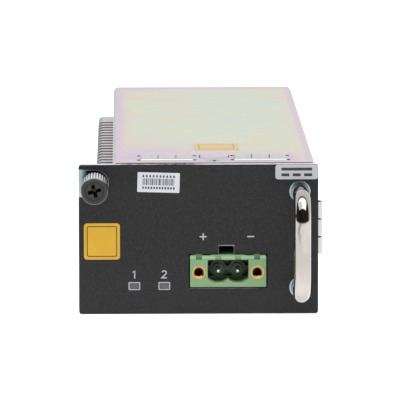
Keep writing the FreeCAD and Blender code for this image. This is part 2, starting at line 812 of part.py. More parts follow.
def make_status_led_right():
    return status_led(window_xs[1])


# Main board

def across(share):
    """X at a share of the board's width."""
    return board_left + share * board_width


def along(share):
    """Y at a share of the board's length."""
    return board_front + share * board_length


# Tall parts stand between the tray's upstand and the board's right edge
bulk_count = 3
bulk_bay = (board_right - upstand_left - tray_gauge) / bulk_count
bulk_gap = 1.0
bulk_radius = (bulk_bay - bulk_gap) / 2
bulk_y = along(0.325)
bulk_height = 0.824 * headroom
bulk_xs = [upstand_left + tray_gauge + bulk_bay * (i + 0.5) for i in range(bulk_count)]

fixing_left, fixing_right = inner_left + fixing_inset, inner_right - fixing_inset
fixing_mid = bulk_y + bulk_radius + board_screw_radius + part_gap
fixing_ys = [board_front + fixing_front, fixing_mid, board_rear - fixing_rear]
pin_tail_y = header_back + 2 * pin_size
blade_tail_y = connector_rear - connector_depth - 2 * blade_width


def board_fixings():
    return [(x, y) for y in fixing_ys for x in (fixing_left, fixing_right)]


def make_main_board():
    board = box(board_left, board_right, board_front, board_rear, board_bottom, board_top)
    low, high = board_bottom - 1, board_top + 1
    cutters = [post(x, y, low, high, thread_radius + seat_gap) for x, y in board_fixings()]
    cutters.append(box(handle_x - washer_radius - board_gap, board_right + 1, board_front - 1,
                       board_front + washer_thickness + handle_screw_head + board_gap, low, high))
    hole = pin_size / 2 + seat_gap
    for x in pole_xs:
        cutters.append(box(x - hole, x + hole, pin_tail_y - hole, pin_tail_y + hole, low, high))
    half, reach = blade_width / 2 + seat_gap, tail_length / 2 + seat_gap
    for x in blade_xs:
        cutters.append(box(x - half, x + half, blade_tail_y - reach, blade_tail_y + reach, low, high))
    return board.cut(cutters + choke_lead_holes())


def make_insulating_sheet():
    film = box(board_left, board_right, board_front, board_rear, tray_gauge, tray_gauge + film_thickness)
    return film.cut([post(x, y, 0, board_bottom, standoff_radius + part_gap) for x, y in board_fixings()])


def make_board_standoffs():
    """Standoffs clinched into the floor, each with its shank in the tray's hole."""
    standoffs = []
    for x, y in board_fixings():
        barrel = post(x, y, tray_gauge, board_bottom, standoff_radius)
        shank = post(x, y, sheet_gap, tray_gauge, thread_radius)
        bore = post(x, y, tray_gauge + part_gap, board_bottom + 1, thread_radius - part_gap + seat_gap)
        standoffs.append(barrel.fuse(shank).cut(bore))
    return Part.makeCompound(standoffs)


def make_board_screws():
    screws = []
    for x, y in board_fixings():
        head = post(x, y, board_top, board_top + board_screw_height, board_screw_radius)
        shank = post(x, y, board_top - board_screw_length, board_top, thread_radius - part_gap)
        screws.append(head.fuse(shank))
    return Part.makeCompound(screws)


# Input parts on the board

top_room = 3.3             # above the tallest wound parts
fuse_x, fuse_y = across(0.843), along(0.175)
fuse_length = 20.0
fuse_radius = 2.6
fuse_lift = 6.0            # its axis above the board
fuse_cap = 5.0
cap_step = 0.3
clip_width = 4.0
clip_gauge = 0.5
clip_mouth = 3.2

winding_build = 1.8
winding_lift = 0.4
winding_sweep = 140.0
ring_rounding = 0.8
winding_rounding = 1.2
choke_x, choke_y = across(0.42), along(0.203)
choke_outer = (headroom - top_room - winding_lift) / 2 - winding_build
choke_inner = 0.52 * choke_outer
choke_width = 9.0
choke_z = board_top + winding_lift + winding_build + choke_outer
lead_radius = 0.7
lead_x = choke_outer - 2 * lead_radius
lead_y = (choke_width + winding_build) / 2

film_cap_x, film_cap_y = across(0.289), along(0.109)
film_cap_width = 0.338 * board_width
film_cap_depth = 9.0
film_cap_height = 15.0
case_rounding = 0.6

surge_x, surge_y = across(0.63), along(0.098)
surge_radius = 6.0
surge_thickness = 4.2
surge_lift = 1.5
surge_pitch = 7.5
surge_lead = 0.4


def make_input_fuse():
    mid = board_top + fuse_lift
    front, back = fuse_y - fuse_length / 2, fuse_y + fuse_length / 2
    glass = rod(fuse_x, front, back, mid, fuse_radius - cap_step)
    return fuse(glass, rod(fuse_x, front, front + fuse_cap, mid, fuse_radius),
                rod(fuse_x, back - fuse_cap, back, mid, fuse_radius))


def make_fuse_clips():
    """Two spring clips, open at the top, soldered to the board."""
    mid = board_top + fuse_lift
    clips = []
    for side in (-1, 1):
        y = fuse_y + side * (fuse_length - fuse_cap) / 2
        y0, y1 = y - clip_width / 2, y + clip_width / 2
        wall = rod(fuse_x, y0, y1, mid, fuse_radius + clip_gauge)
        bore = rod(fuse_x, y0 - 1, y1 + 1, mid, fuse_radius + seat_gap)
        mouth = box(fuse_x - clip_mouth / 2, fuse_x + clip_mouth / 2, y0 - 1, y1 + 1,
                    mid, mid + 2 * fuse_radius)
        foot = box(fuse_x - clip_width / 3, fuse_x + clip_width / 3, y0, y1, board_top,
                   mid - fuse_radius - clip_gauge / 2)
        clips.append(fuse(wall.cut([bore, mouth]), foot))
    return Part.makeCompound(clips)


def ring_on_y(x, y, z, outer, inner, width):
    return rod(x, y - width / 2, y + width / 2, z, outer).cut(rod(x, y - width, y + width, z, inner))


def make_choke_core():
    core = ring_on_y(choke_x, choke_y, choke_z, choke_outer, choke_inner, choke_width)
    return core.makeFillet(ring_rounding, core.Edges)


def choke_winding(side):
    """Copper wound round one half of the ring, with two leads down to the board."""
    sleeve = ring_on_y(0, 0, 0, choke_outer + winding_build, choke_inner - winding_build,
                       choke_width + 2 * winding_build)
    sleeve = sleeve.makeFillet(winding_rounding, sleeve.Edges)
    sleeve = sleeve.cut(ring_on_y(0, 0, 0, choke_outer + seat_gap, choke_inner - seat_gap,
                                  choke_width + 2 * seat_gap))
    reach = 2 * choke_outer
    half = math.radians(winding_sweep / 2)
    x, z = side * reach * math.cos(half), reach * math.sin(half)
    corners = [(0, 0), (x, z), (2 * side * reach, 0), (x, -z), (0, 0)]
    wedge = Part.Face(Part.makePolygon([V(u, -reach, w) for u, w in corners])).extrude(V(0, 2 * reach, 0))
    coil = sleeve.common(wedge).translated(V(choke_x, choke_y, choke_z))
    leads = [post(choke_x + side * lead_x, choke_y + way * lead_y, board_top - board_thickness / 2,
                  choke_z - 1, lead_radius) for way in (-1, 1)]
    return fuse(coil, *leads)


def choke_lead_holes():
    return [post(choke_x + side * lead_x, choke_y + way * lead_y, board_bottom - 1, board_top + 1,
                 lead_radius + seat_gap) for side in (-1, 1) for way in (-1, 1)]


def make_choke_winding_left():
    return choke_winding(-1)


def make_choke_winding_right():
    return choke_winding(1)


def make_input_film_capacitor():
    case = box(film_cap_x - film_cap_width / 2, film_cap_x + film_cap_width / 2,
               film_cap_y - film_cap_depth / 2, film_cap_y + film_cap_depth / 2,
               board_top, board_top + film_cap_height)
    return rounded(case, case_rounding, Z_AXIS)


def make_surge_suppressor():
    """Coated disc on two leads."""
    mid = board_top + surge_radius + surge_lift
    disc = rod(surge_x, surge_y - surge_thickness / 2, surge_y + surge_thickness / 2, mid, surge_radius)
    disc = disc.makeFillet(winding_rounding, disc.Edges[:1] + disc.Edges[2:])
    leads = [post(surge_x + side * surge_pitch / 2, surge_y, board_top, mid - surge_radius / 2, surge_lead)
             for side in (-1, 1)]
    return fuse(disc, *leads)


# Capacitor cans

can_rounding = 0.7
groove_height = 2.6
groove_radius = 0.75


def can_capacitor(x, y, radius, height):
    """Aluminium can with its crimp groove above the foot."""
    can = post(x, y, board_top, board_top + height, radius)
    can = can.makeFillet(can_rounding, [e for e in can.Edges if e.BoundBox.ZMin > board_top + height - 0.01])
    return can.cut(Part.makeTorus(radius + groove_radius / 3, groove_radius,
                                  V(x, y, board_top + groove_height), Z_AXIS))


def make_bulk_capacitor_1():
    return can_capacitor(bulk_xs[0], bulk_y, bulk_radius, bulk_height)


def make_bulk_capacitor_2():
    return can_capacitor(bulk_xs[1], bulk_y, bulk_radius, bulk_height)


def make_bulk_capacitor_3():
    return can_capacitor(bulk_xs[2], bulk_y, bulk_radius, bulk_height)


# Transformer

core_x, core_y = across(0.43), along(0.524)
core_width = 0.563 * board_width
core_depth = 20.0
core_limb = 0.133 * core_width
core_back = 3.0
core_lift = 6.0
winding_height = 4.6
bobbin_wall = 1.0
bobbin_rim = 0.4
coil_rounding = 2.0
core_height = headroom - top_room - core_lift - winding_height - bobbin_rim
core_bottom = board_top + core_lift
core_top = core_bottom + core_height
coil_reach = core_width / 2 - core_limb - part_gap
coil_depth = core_depth / 2 - core_back - part_gap
tube_reach = core_limb + seat_gap + bobbin_wall


def transformer_core(side):
    """One E half; its limbs meet the other half's at core_y."""
    y0, y1 = sorted((core_y, core_y + side * core_depth / 2))
    half = box(core_x - core_width / 2, core_x + core_width / 2, y0, y1, core_bottom, core_top)
    w0, w1 = sorted((core_y - side, core_y + side * (core_depth / 2 - core_back)))
    windows = []
    for way in (-1, 1):
        x0, x1 = sorted((core_x + way * core_limb, core_x + way * (core_width / 2 - core_limb)))
        windows.append(box(x0, x1, w0, w1, core_bottom - 1, core_top + 1))
    return half.cut(windows)


def make_transformer_core_front():
    return transformer_core(-1)


def make_transformer_core_rear():
    return transformer_core(1)


def make_transformer_bobbin():
    """Spool round the centre limb; its two flanges stand on the board."""
    wall = bobbin_wall + seat_gap
    pieces = [box(core_x - tube_reach, core_x + tube_reach, core_y - coil_depth, core_y + coil_depth,
                  core_bottom - wall, core_top + wall)]
    for side in (-1, 1):
        y0, y1 = sorted((core_y + side * (coil_depth - bobbin_wall), core_y + side * coil_depth))
        pieces.append(box(core_x - coil_reach, core_x + coil_reach, y0, y1, board_top,
                          core_top + winding_height + bobbin_rim))
    limb = core_limb + seat_gap
    return fuse(*pieces).cut(box(core_x - limb, core_x + limb, core_y - core_depth, core_y + core_depth,
                                 core_bottom - seat_gap, core_top + seat_gap))


def make_transformer_winding():
    """Wound and taped coil round the bobbin."""
    depth = coil_depth - bobbin_wall - seat_gap
    wall = bobbin_wall + 2 * seat_gap
    reach = coil_reach - seat_gap
    tube = tube_reach + seat_gap
    coil = box(core_x - reach, core_x + reach, core_y - depth, core_y + depth,
               core_bottom - winding_height, core_top + winding_height)
    return rounded(coil, coil_rounding, Y_AXIS).cut(
        box(core_x - tube, core_x + tube, core_y - core_depth, core_y + core_depth,
            core_bottom - wall, core_top + wall))


# Power transistors on their heat sink

sink_x, sink_y = across(0.918), along(0.557)
sink_width = 7.0
sink_length = 40.0
sink_height = 0.72 * headroom
sink_base = 2.2
sink_fin = 1.1
sink_fin_count = 5
sink_left, sink_right = sink_x - sink_width / 2, sink_x + sink_width / 2
transistor_ys = [sink_y - 0.275 * sink_length, sink_y + 0.275 * sink_length]
transistor_width = 10.0
tab_gauge = 1.3
body_gauge = 3.1
tab_low = board_top + 0.18 * sink_height
tab_hole = board_top + 0.66 * sink_height
tab_high = tab_hole + 0.16 * sink_height
leg_pitch = 2.54
leg_width = 0.8
leg_gauge = 0.6
leg_offset = 2.0
tab_back = sink_left - seat_gap
tab_screw_radius = 2.4
body_high = tab_hole - tab_screw_radius - seat_gap
tab_screw_head = 1.8
tab_screw_length = 5.2


def make_heat_sink():
    """Extruded sink, upright on the board, its fins towards the right wall."""
    y0, y1 = sink_y - sink_length / 2, sink_y + sink_length / 2
    base = box(sink_left, sink_left + sink_base, y0, y1, board_top, board_top + sink_height)
    step = (sink_height - sink_fin) / (sink_fin_count - 1)
    fins = [box(sink_left + sink_base - seat_gap, sink_right, y0, y1, board_top + i * step,
                board_top + i * step + sink_fin) for i in range(sink_fin_count)]
    holes = [Part.makeCylinder(thread_radius, 2 * sink_width, V(sink_left - 1, y, tab_hole), X_AXIS)
             for y in transistor_ys]
    return fuse(base, *fins).cut(holes)


def transistor(y):
    """Flat power package against the sink, three leads into the board."""
    half = transistor_width / 2
    tab_front = tab_back - tab_gauge
    tab = box(tab_front, tab_back, y - half, y + half, tab_low, tab_high)
    body = box(tab_front - body_gauge, tab_front, y - half, y + half, tab_low, body_high)
    leads = [box(tab_back - leg_offset - leg_gauge, tab_back - leg_offset, y + leg_pitch * i - leg_width / 2,
                 y + leg_pitch * i + leg_width / 2, board_top, tab_low + sheet_gap) for i in (-1, 0, 1)]
    hole = Part.makeCylinder(thread_radius + sheet_gap, 2 * body_gauge,
                             V(tab_front - body_gauge, y, tab_hole), X_AXIS)
    return fuse(tab, body, *leads).cut(hole)


def make_power_transistor_1():
    return transistor(transistor_ys[0])


def make_power_transistor_2():
    return transistor(transistor_ys[1])


def make_transistor_screws():
    screws = []
    for y in transistor_ys:
        place = V(tab_back - tab_gauge - tab_screw_head, y, tab_hole)
        head = Part.makeCylinder(tab_screw_radius, tab_screw_head, place, X_AXIS)
        screws.append(head.fuse(Part.makeCylinder(thread_radius - seat_gap, tab_screw_length, place, X_AXIS)))
    return Part.makeCompound(screws)


# Output parts on the board

ring_x, ring_y = across(0.44), along(0.717)
ring_outer = 0.2066 * board_width
ring_inner = ring_outer / 2
ring_height = 10.0
ring_bottom = board_top + winding_lift + winding_build
coil_mouth = 6.0
foot_radius = 1.0
foot_x = ring_outer - 2 * foot_radius
output_cap_x = across(0.824)
output_cap_ys = [along(0.745), along(0.839)]
output_cap_radius = 0.122 * board_width
output_cap_height = 0.72 * headroom


def make_inductor_core():
    core = post(ring_x, ring_y, ring_bottom, ring_bottom + ring_height, ring_outer)
    core = core.cut(post(ring_x, ring_y, ring_bottom - 1, ring_bottom + ring_height + 1, ring_inner))
    return core.makeFillet(ring_rounding, core.Edges)


def make_inductor_winding():
    """Heavy wire turns round the lying ring, on two feet."""
    low, high = ring_bottom - winding_build, ring_bottom + ring_height + winding_build
    sleeve = post(ring_x, ring_y, low, high, ring_outer + winding_build)
    sleeve = sleeve.cut(post(ring_x, ring_y, low - 1, high + 1, ring_inner - winding_build))
    sleeve = sleeve.makeFillet(winding_rounding, sleeve.Edges)
    hollow = post(ring_x, ring_y, ring_bottom - seat_gap, ring_bottom + ring_height + seat_gap,
                  ring_outer + seat_gap)
    hollow = hollow.cut(post(ring_x, ring_y, low - 1, high + 1, ring_inner - seat_gap))
    mouth = box(ring_x - coil_mouth / 2, ring_x + coil_mouth / 2, ring_y, ring_y + 2 * ring_outer,
                low - 1, high + 1)
    feet = [post(ring_x + side * foot_x, ring_y, board_top, ring_bottom - winding_build / 2, foot_radius)
            for side in (-1, 1)]
    return fuse(sleeve.cut([hollow, mouth]), *feet)


def make_output_capacitor_1():
    return can_capacitor(output_cap_x, output_cap_ys[0], output_cap_radius, output_cap_height)


def make_output_capacitor_2():
    return can_capacitor(output_cap_x, output_cap_ys[1], output_cap_radius, output_cap_height)


# Control board

card_thickness = 1.2
card_left = board_left + 2.9
card_y = along(0.629)
card_length = 0.31 * board_length
card_lift = 2.0
card_height = 0.76 * shoulder_room
socket_strip_length = 30.0
socket_strip_margin = 0.6
chip_size = 10.0
chip_thickness = 1.4


def make_control_board():
    """Upright card on a row of pins, with its controller chip."""
    right = card_left + card_thickness
    bottom = board_top + card_lift
    card = box(card_left, right, card_y - card_length / 2, card_y + card_length / 2,
               bottom, bottom + card_height)
    strip = box(card_left - socket_strip_margin, right + socket_strip_margin,
                card_y - socket_strip_length / 2, card_y + socket_strip_length / 2,
                board_top, bottom + socket_strip_margin)
    chip = box(right - seat_gap, right + chip_thickness, card_y - chip_size / 2, card_y + chip_size / 2,
               bottom + 0.3 * card_height, bottom + 0.7 * card_height)
    return fuse(card, strip, chip)


# Output connector

def make_output_connector():
    front = connector_rear - connector_depth
    block = box(connector_left, connector_right, front, connector_rear, connector_bottom, connector_top)
    block = rounded(block, connector_rounding, Y_AXIS)
    wall = connector_wall
    socket = box(connector_left + wall, connector_right - wall, connector_rear - connector_socket,
                 connector_rear + 1, connector_bottom + wall, connector_top - wall)
    blades = [box(x - blade_width / 2 - seat_gap, x + blade_width / 2 + seat_gap, front - 1, connector_rear,
                  blade_z - blade_height / 2 - seat_gap, blade_z + blade_height / 2 + seat_gap)
              for x in blade_xs]
    return block.cut([rounded(socket, socket_rounding, Y_AXIS)] + blades)


def output_contact(x):
    half = blade_width / 2
    front = blade_tail_y - tail_length / 2
    blade = box(x - half, x + half, front, connector_rear - blade_recess,
                blade_z - blade_height / 2, blade_z + blade_height / 2)
    tail = box(x - half, x + half, front, front + tail_length, board_bottom - tail_reach,
               blade_z - blade_height / 2 + 1)
    return fuse(blade, tail)


def make_output_contact_1():
    return output_contact(blade_xs[0])


def make_output_contact_2():
    return output_contact(blade_xs[1])


def make_output_contact_3():
    return output_contact(blade_xs[2])


def make_output_contact_4():
    return output_contact(blade_xs[3])


# Every function named make_NODE builds the node of that name
os.makedirs("parts", exist_ok=True)
for name, builder in sorted(globals().items()):
    if name.startswith("make_"):
        builder().exportStep("parts/" + name[len("make_"):] + ".step")
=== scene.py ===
import json
import math

import bmesh
import bpy
from mathutils import Matrix, Vector


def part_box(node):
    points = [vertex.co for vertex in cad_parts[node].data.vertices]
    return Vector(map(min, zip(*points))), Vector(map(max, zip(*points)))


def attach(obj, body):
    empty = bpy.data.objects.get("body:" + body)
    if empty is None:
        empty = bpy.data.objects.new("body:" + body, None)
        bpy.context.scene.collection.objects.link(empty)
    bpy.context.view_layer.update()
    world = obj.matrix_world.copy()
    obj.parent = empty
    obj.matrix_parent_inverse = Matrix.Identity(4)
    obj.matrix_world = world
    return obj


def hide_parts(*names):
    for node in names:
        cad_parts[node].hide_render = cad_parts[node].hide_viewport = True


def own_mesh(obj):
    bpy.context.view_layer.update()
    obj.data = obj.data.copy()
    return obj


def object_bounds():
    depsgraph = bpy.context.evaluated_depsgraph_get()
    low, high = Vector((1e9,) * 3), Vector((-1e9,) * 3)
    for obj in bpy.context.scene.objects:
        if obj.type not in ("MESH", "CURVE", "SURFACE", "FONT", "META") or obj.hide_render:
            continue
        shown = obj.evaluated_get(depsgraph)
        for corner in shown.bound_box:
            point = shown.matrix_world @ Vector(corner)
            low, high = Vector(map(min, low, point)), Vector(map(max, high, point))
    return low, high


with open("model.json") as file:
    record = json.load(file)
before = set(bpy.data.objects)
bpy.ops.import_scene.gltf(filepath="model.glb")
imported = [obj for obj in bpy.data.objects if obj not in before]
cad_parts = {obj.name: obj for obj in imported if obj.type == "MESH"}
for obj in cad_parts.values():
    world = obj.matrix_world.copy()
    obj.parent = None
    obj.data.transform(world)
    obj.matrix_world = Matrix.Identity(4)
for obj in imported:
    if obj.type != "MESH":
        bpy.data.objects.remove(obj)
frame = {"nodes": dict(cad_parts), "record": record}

# A plug-in DC power supply module: materials, printing, thread, spring, light and camera.
# Lengths are in millimetres and become metres when a mesh is made; the studio's are in metres.

MM = 0.001
cad_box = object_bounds()


def node_box(name):
    low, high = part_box(name)
    return Vector(low) / MM, Vector(high) / MM


# Places read from the frame
panel_low, panel_high = node_box("front_panel")
cover_low, cover_high = node_box("top_cover")
tray_low, tray_high = node_box("base_tray")
header_low, header_high = node_box("dc_header")
handle_low, handle_high = node_box("handle")
ferrule_low, ferrule_high = node_box("captive_ferrule")
spring_low, spring_high = node_box("captive_spring")
knob_low, knob_high = node_box("captive_knob")
screw_low, screw_high = node_box("captive_screw")
pipe_low, pipe_high = node_box("light_pipe")
clip_end = node_box("captive_clip")[1].y
insert_face = node_box("header_insert_left")[0].y
strip_low = node_box("emi_strip_top_left")[0]

face_y = panel_low.y
captive_x = (ferrule_low.x + ferrule_high.x) / 2
captive_z = (ferrule_low.z + ferrule_high.z) / 2
handle_rod = handle_high.x - handle_low.x
handle_x = (handle_low.x + handle_high.x) / 2
handle_feet = (handle_low.z + handle_rod / 2, handle_high.z - handle_rod / 2)
header_x = (header_low.x + header_high.x) / 2
knob_radius = (knob_high.x - knob_low.x) / 2
screw_radius = (screw_high.x - screw_low.x) / 2
cover_top = strip_low.z
shoulder_drop = 8.9
shoulder_z = panel_high.z - shoulder_drop
tongue_setback = 15.0
notch = dict(width=4.0, rise=2.5, shift=0.47)
window_width, window_height = 2.3, 1.28
window_xs = (pipe_low.x + window_width / 2, pipe_high.x - window_width / 2)
window_z = pipe_low.z + window_height / 2

# Bare patches of the panel, and the painted reflection on them
patch_shift = (0.1, 0.2)
patch_radius = 3.6
patch_rim = 0.22
foot_radius = 2.75
foot_shade = 0.42

# Printing; places are x and z from the lower middle of the panel
print_gauge = 0.03
window_frame = dict(width=3.05, height=2.08, corner=0.22, line=0.28)
window_number = dict(height=2.1, line=0.32, z=10.45)
pole_sign = dict(width=1.804, line=0.34, xs=(1.2, 13.6), z=20.35)

# Labels; the top label's y is from the panel's face
label_gauge = 0.05
label_print_gauge = 0.01
white_label = dict(x=-10.4, z=34.65, width=11.0, height=5.2, corner=0.15, turn=-1.7)
label_bars = dict(start=-4.15, end=4.1, z=0.15, height=1.75,
                  widths=(0.10, 0.19, 0.10, 0.28, 0.14), gaps=(0.16, 0.12, 0.24))
label_dashes = dict(width=0.42, height=0.62, span=8.0, rows=((1.6, 10), (-1.45, 12)))
yellow_label = dict(x=-25.2, z=19.2, width=9.4, height=9.55, corner=0.85)
yellow_border = dict(inset=0.75, corner=0.6, line=0.22)
tab_label = dict(x=25.6, z=37.3, width=11.1, height=3.85, corner=0.7)
current_sign = dict(width=8.0, line=0.75, rise=0.75, dash=0.26, spread=0.37)
top_label = dict(x=5.4, y=38.3, width=12.0, height=14.2, corner=0.5)
top_border = dict(side=1.2, end=2.2, corner=0.5, line=0.3)
top_film = dict(width=0.8, shorter=1.0, corner=0.3, gap=2.1, gauge=0.02)

# Thread and spring of the captive screw
screw_thread = dict(root=1.48, rise=0.112, pitch=0.5, clearance=0.1, chamfer=0.45, steps=24)
spring = dict(wire=0.17, turns=4, travel=3.6, steps=32, sides=10)

# Studio, in metres but for the camera's eye; a pair is the strength elsewhere and on the dark side
floor_half = 6.0
floor_gap = 0.00002
floor_albedo = 0.8
floor_glow = dict(camera=0.65, gloss=0.48)
dark_side = dict(lean=0.22, start=0.12, full=0.08, horizon=0.02)
studio_gloss = (0.98, 0.03)
studio_light = (0.64, 0.56)
softbox = dict(place=(0.02, -0.39, 1.146), target=(0.02, -0.11, 0.03), width=2.2, depth=1.0, power=16.5)
eye = (-19.41, face_y - 1205.1, 190.9)
yaw, pitch, roll = 0.01643, 0.1327, -0.00154
lens = 420.07


# Node trees

def srgb(*values):
    """Linear colour of an sRGB triple from 0 to 255."""
    shares = [v / 255 for v in values]
    return tuple(s / 12.92 if s <= 0.04045 else ((s + 0.055) / 1.055) ** 2.4 for s in shares)


class Tree:
    """A node tree, with short calls for the nodes used here."""

    def __init__(self, tree):
        self.tree = tree

    def add(self, kind, **settings):
        node = self.tree.nodes.new(kind)
        for key, value in settings.items():
            setattr(node, key, value)
        return node

    def put(self, socket, value):
        if isinstance(value, bpy.types.NodeSocket):
            self.tree.links.new(value, socket)
        elif socket.type == "RGBA" and len(value) == 3:
            socket.default_value = (*value, 1.0)
        else:
            socket.default_value = value

    def axes(self, vector):
        node = self.add("ShaderNodeSeparateXYZ")
        self.put(node.inputs[0], vector)
        return node.outputs[0], node.outputs[1], node.outputs[2]

    def math(self, operation, a, b=0.0):
        node = self.add("ShaderNodeMath", operation=operation)
        self.put(node.inputs[0], a)
        self.put(node.inputs[1], b)
        return node.outputs[0]

    def fold(self, operation, first, others):
        for other in others:
            first = self.math(operation, first, other)
        return first

    def least(self, first, *others):
        return self.fold("MINIMUM", first, others)

    def most(self, first, *others):
        return self.fold("MAXIMUM", first, others)

    def times(self, first, *others):
        return self.fold("MULTIPLY", first, others)

    def plus(self, first, *others):
        return self.fold("ADD", first, others)

    def minus(self, a, b):
        return self.math("SUBTRACT", a, b)

    def above(self, a, b):
        return self.math("GREATER_THAN", a, b)

    def below(self, a, b):
        return self.math("LESS_THAN", a, b)

    def span(self, value, low, high, to_low=0.0, to_high=1.0):
        """value mapped from low..high to to_low..to_high and held at both ends."""
        node = self.add("ShaderNodeMapRange")
        for socket, number in zip(node.inputs, (value, low, high, to_low, to_high)):
            self.put(socket, number)
        return node.outputs[0]


class Shader(Tree):
    """A material's node tree; positions are in millimetres."""

    def __init__(self, name):
        self.material = bpy.data.materials.new(name)
        self.material.use_nodes = True
        super().__init__(self.material.node_tree)
        self.surface = self.tree.nodes["Principled BSDF"]
        scale = self.add("ShaderNodeVectorMath", operation="SCALE")
        self.put(scale.inputs[0], self.add("ShaderNodeTexCoord").outputs["Object"])
        scale.inputs["Scale"].default_value = 1 / MM
        self.position = scale.outputs[0]

    def set(self, **values):
        """Sets the surface's sockets, named in lower case with underscores."""
        for key, value in values.items():
            name = key.replace("_", " ").title().replace("Ior", "IOR")
            self.put(self.surface.inputs[name], value)

    def place(self):
        return self.axes(self.position)

    def facing(self):
        """How much a face looks along each axis, either way."""
        normal = self.add("ShaderNodeNewGeometry").outputs["Normal"]
        return [self.math("ABSOLUTE", share) for share in self.axes(normal)]

    def within(self, value, low, high, edge=0.04):
        """1 where value lies between low and high."""
        return self.times(self.span(value, low - edge, low + edge),
                          self.span(value, high - edge, high + edge, 1.0, 0.0))

    def reach(self, x, z, centre_x, centre_z):
        """Distance from a centre, seen from the front."""
        dx, dz = self.minus(x, centre_x), self.minus(z, centre_z)
        return self.math("SQRT", self.plus(self.times(dx, dx), self.times(dz, dz)))

    def disc(self, x, z, centre_x, centre_z, radius, edge=0.04):
        """1 within radius of a centre, seen from the front."""
        return self.span(self.reach(x, z, centre_x, centre_z), radius - edge, radius + edge, 1.0, 0.0)

    def noise(self, size, detail=2.0, roughness=0.5, stretch=(1, 1, 1), distortion=0.0):
        """Noise whose features are about size millimetres across."""
        mapping = self.add("ShaderNodeMapping")
        self.put(mapping.inputs["Vector"], self.position)
        mapping.inputs["Scale"].default_value = stretch
        node = self.add("ShaderNodeTexNoise")
        self.put(node.inputs["Vector"], mapping.outputs[0])
        for name, value in (("Scale", 1 / size), ("Detail", detail), ("Roughness", roughness),
                            ("Distortion", distortion)):
            node.inputs[name].default_value = value
        return node.outputs["Fac"]

    def wave(self, spacing, axis, distortion=0.0):
        """Bands across an axis, spacing millimetres apart."""
        node = self.add("ShaderNodeTexWave", bands_direction=axis, wave_profile="SIN")
        self.put(node.inputs["Vector"], self.position)
        node.inputs["Scale"].default_value = math.pi / 10 / spacing
        node.inputs["Distortion"].default_value = distortion
        return node.outputs["Fac"]

    def ramp(self, factor, *stops):
        """Colour ramp; each stop is (place, red, green, blue) in sRGB."""
        node = self.add("ShaderNodeValToRGB")
        elements = node.color_ramp.elements
        while len(elements) < len(stops):
            elements.new(0.5)
        for element, (position, *colour) in zip(elements, stops):
            element.position = position
            element.color = (*srgb(*colour), 1.0)
        self.put(node.inputs[0], factor)
        return node.outputs[0]

    def mix(self, factor, a, b):
        node = self.add("ShaderNodeMix", data_type="RGBA")
        self.put(node.inputs[0], factor)
        self.put(node.inputs[6], a)
        self.put(node.inputs[7], b)
        return node.outputs[2]

    def clouded(self, noise, dark, light, low=0.35, high=0.65):
        """Drifts between two colours with a noise."""
        return self.mix(self.span(noise, low, high), dark, light)

    def bump(self, height, distance, strength):
        node = self.add("ShaderNodeBump")
        node.inputs["Distance"].default_value = distance * MM
        node.inputs["Strength"].default_value = strength
        self.put(node.inputs["Height"], height)
        self.put(self.surface.inputs["Normal"], node.outputs[0])


# Panel paint

def captive_patch(s, x, z, inset=0.0):
    """1 on the bare patch at the captive screw, which runs out over the panel's left edge."""
    centre_x, centre_z = captive_x + patch_shift[0], captive_z + patch_shift[1]
    radius = patch_radius - inset
    beside = s.times(s.within(z, centre_z - radius, centre_z + radius), s.below(x, centre_x))
    return s.most(s.disc(x, z, centre_x, centre_z, radius), beside)


def bare_patches(s, x, z):
    """The unpainted places in front, and a painted reflection on their zinc: bright near the panel's left
    edge and round the handle's feet, darker close to what it carries.
    """
    mask = captive_patch(s, x, z)
    # painted reflection: bright near the panel's left edge and at the patch's rim, dark inside the patch
    painted_reflection = s.most(s.span(x, panel_low.x + 0.8, panel_low.x + 2.2, 1.0, 0.0),
                    s.span(captive_patch(s, x, z, patch_rim), 0.0, 1.0, 0.45, 0.0))
    side = s.span(s.math("ABSOLUTE", s.minus(x, handle_x)), 0.8, 2.2, 0.35, 1.0)
    for foot_z in handle_feet:
        mask = s.most(mask, s.disc(x, z, handle_x, foot_z, foot_radius))
        # painted reflection: each foot's circle dark in the middle, light at its rim and sides
        ring = s.span(s.disc(x, z, handle_x, foot_z, foot_radius - foot_shade, 0.2), 0.0, 1.0, 1.0, 0.1)
        near = s.disc(x, z, handle_x, foot_z, foot_radius + 0.2)
        painted_reflection = s.most(painted_reflection, s.times(near, side, ring))
    return mask, painted_reflection


def rim_highlights_and_wear(s, x, z):
    """Thin lighter lines: a painted highlight at the panel's outline, and worn paint round the notch and
    under the header.
    """
    # painted highlight: the panel's left, low and right edges drawn lighter
    left = s.span(s.minus(x, panel_low.x), 0.05, 0.2, 0.8, 0.0)
    low = s.span(z, 0.05, 0.2, 0.5, 0.0)
    right = s.span(s.minus(panel_high.x, x), 0.03, 0.12, 0.4, 0.0)
    line, sharp = 0.07, 0.02
    notch_x, half = header_x - notch["shift"], notch["width"] / 2 + line
    notch_line = s.times(s.within(x, notch_x - half, notch_x + half, sharp),
                         s.within(z, header_high.z, header_high.z + notch["rise"] + line, sharp))
    under = s.times(s.within(x, header_low.x - 0.3, header_high.x - 2.2),
                    s.within(z, header_low.z - 0.52, header_low.z - 0.35, sharp), 0.5)
    return s.most(left, low, right, notch_line, under)


def paint_colour(s, x, y, z, coarse):
    """Black paint with light specks, lighter low down as painted light, and lighter rims: painted highlight
    at the outline, worn paint at the cut edges.
    """
    speck = s.span(s.noise(0.24, detail=0.0), 0.68, 0.76)
    paint = s.clouded(coarse, srgb(36, 35, 37), srgb(43, 42, 44))
    # painted light: the paint drawn lighter towards the bottom of the panel
    paint = s.mix(s.span(z, 2.0, 18.0, 0.16, 0.0), paint, srgb(70, 70, 72))
    paint = s.mix(s.times(speck, 0.3), paint, srgb(88, 88, 90))
    rim_unevenness = s.span(s.noise(1.2), 0.35, 0.6, 0.4, 0.9)
    # lighter rims: painted highlight at the outline, worn paint at the notch and under the header
    rim_highlight_and_wear = s.times(rim_highlights_and_wear(s, x, z), s.below(y, face_y + 0.5), rim_unevenness)
    return s.mix(rim_highlight_and_wear, paint, srgb(168, 172, 178))


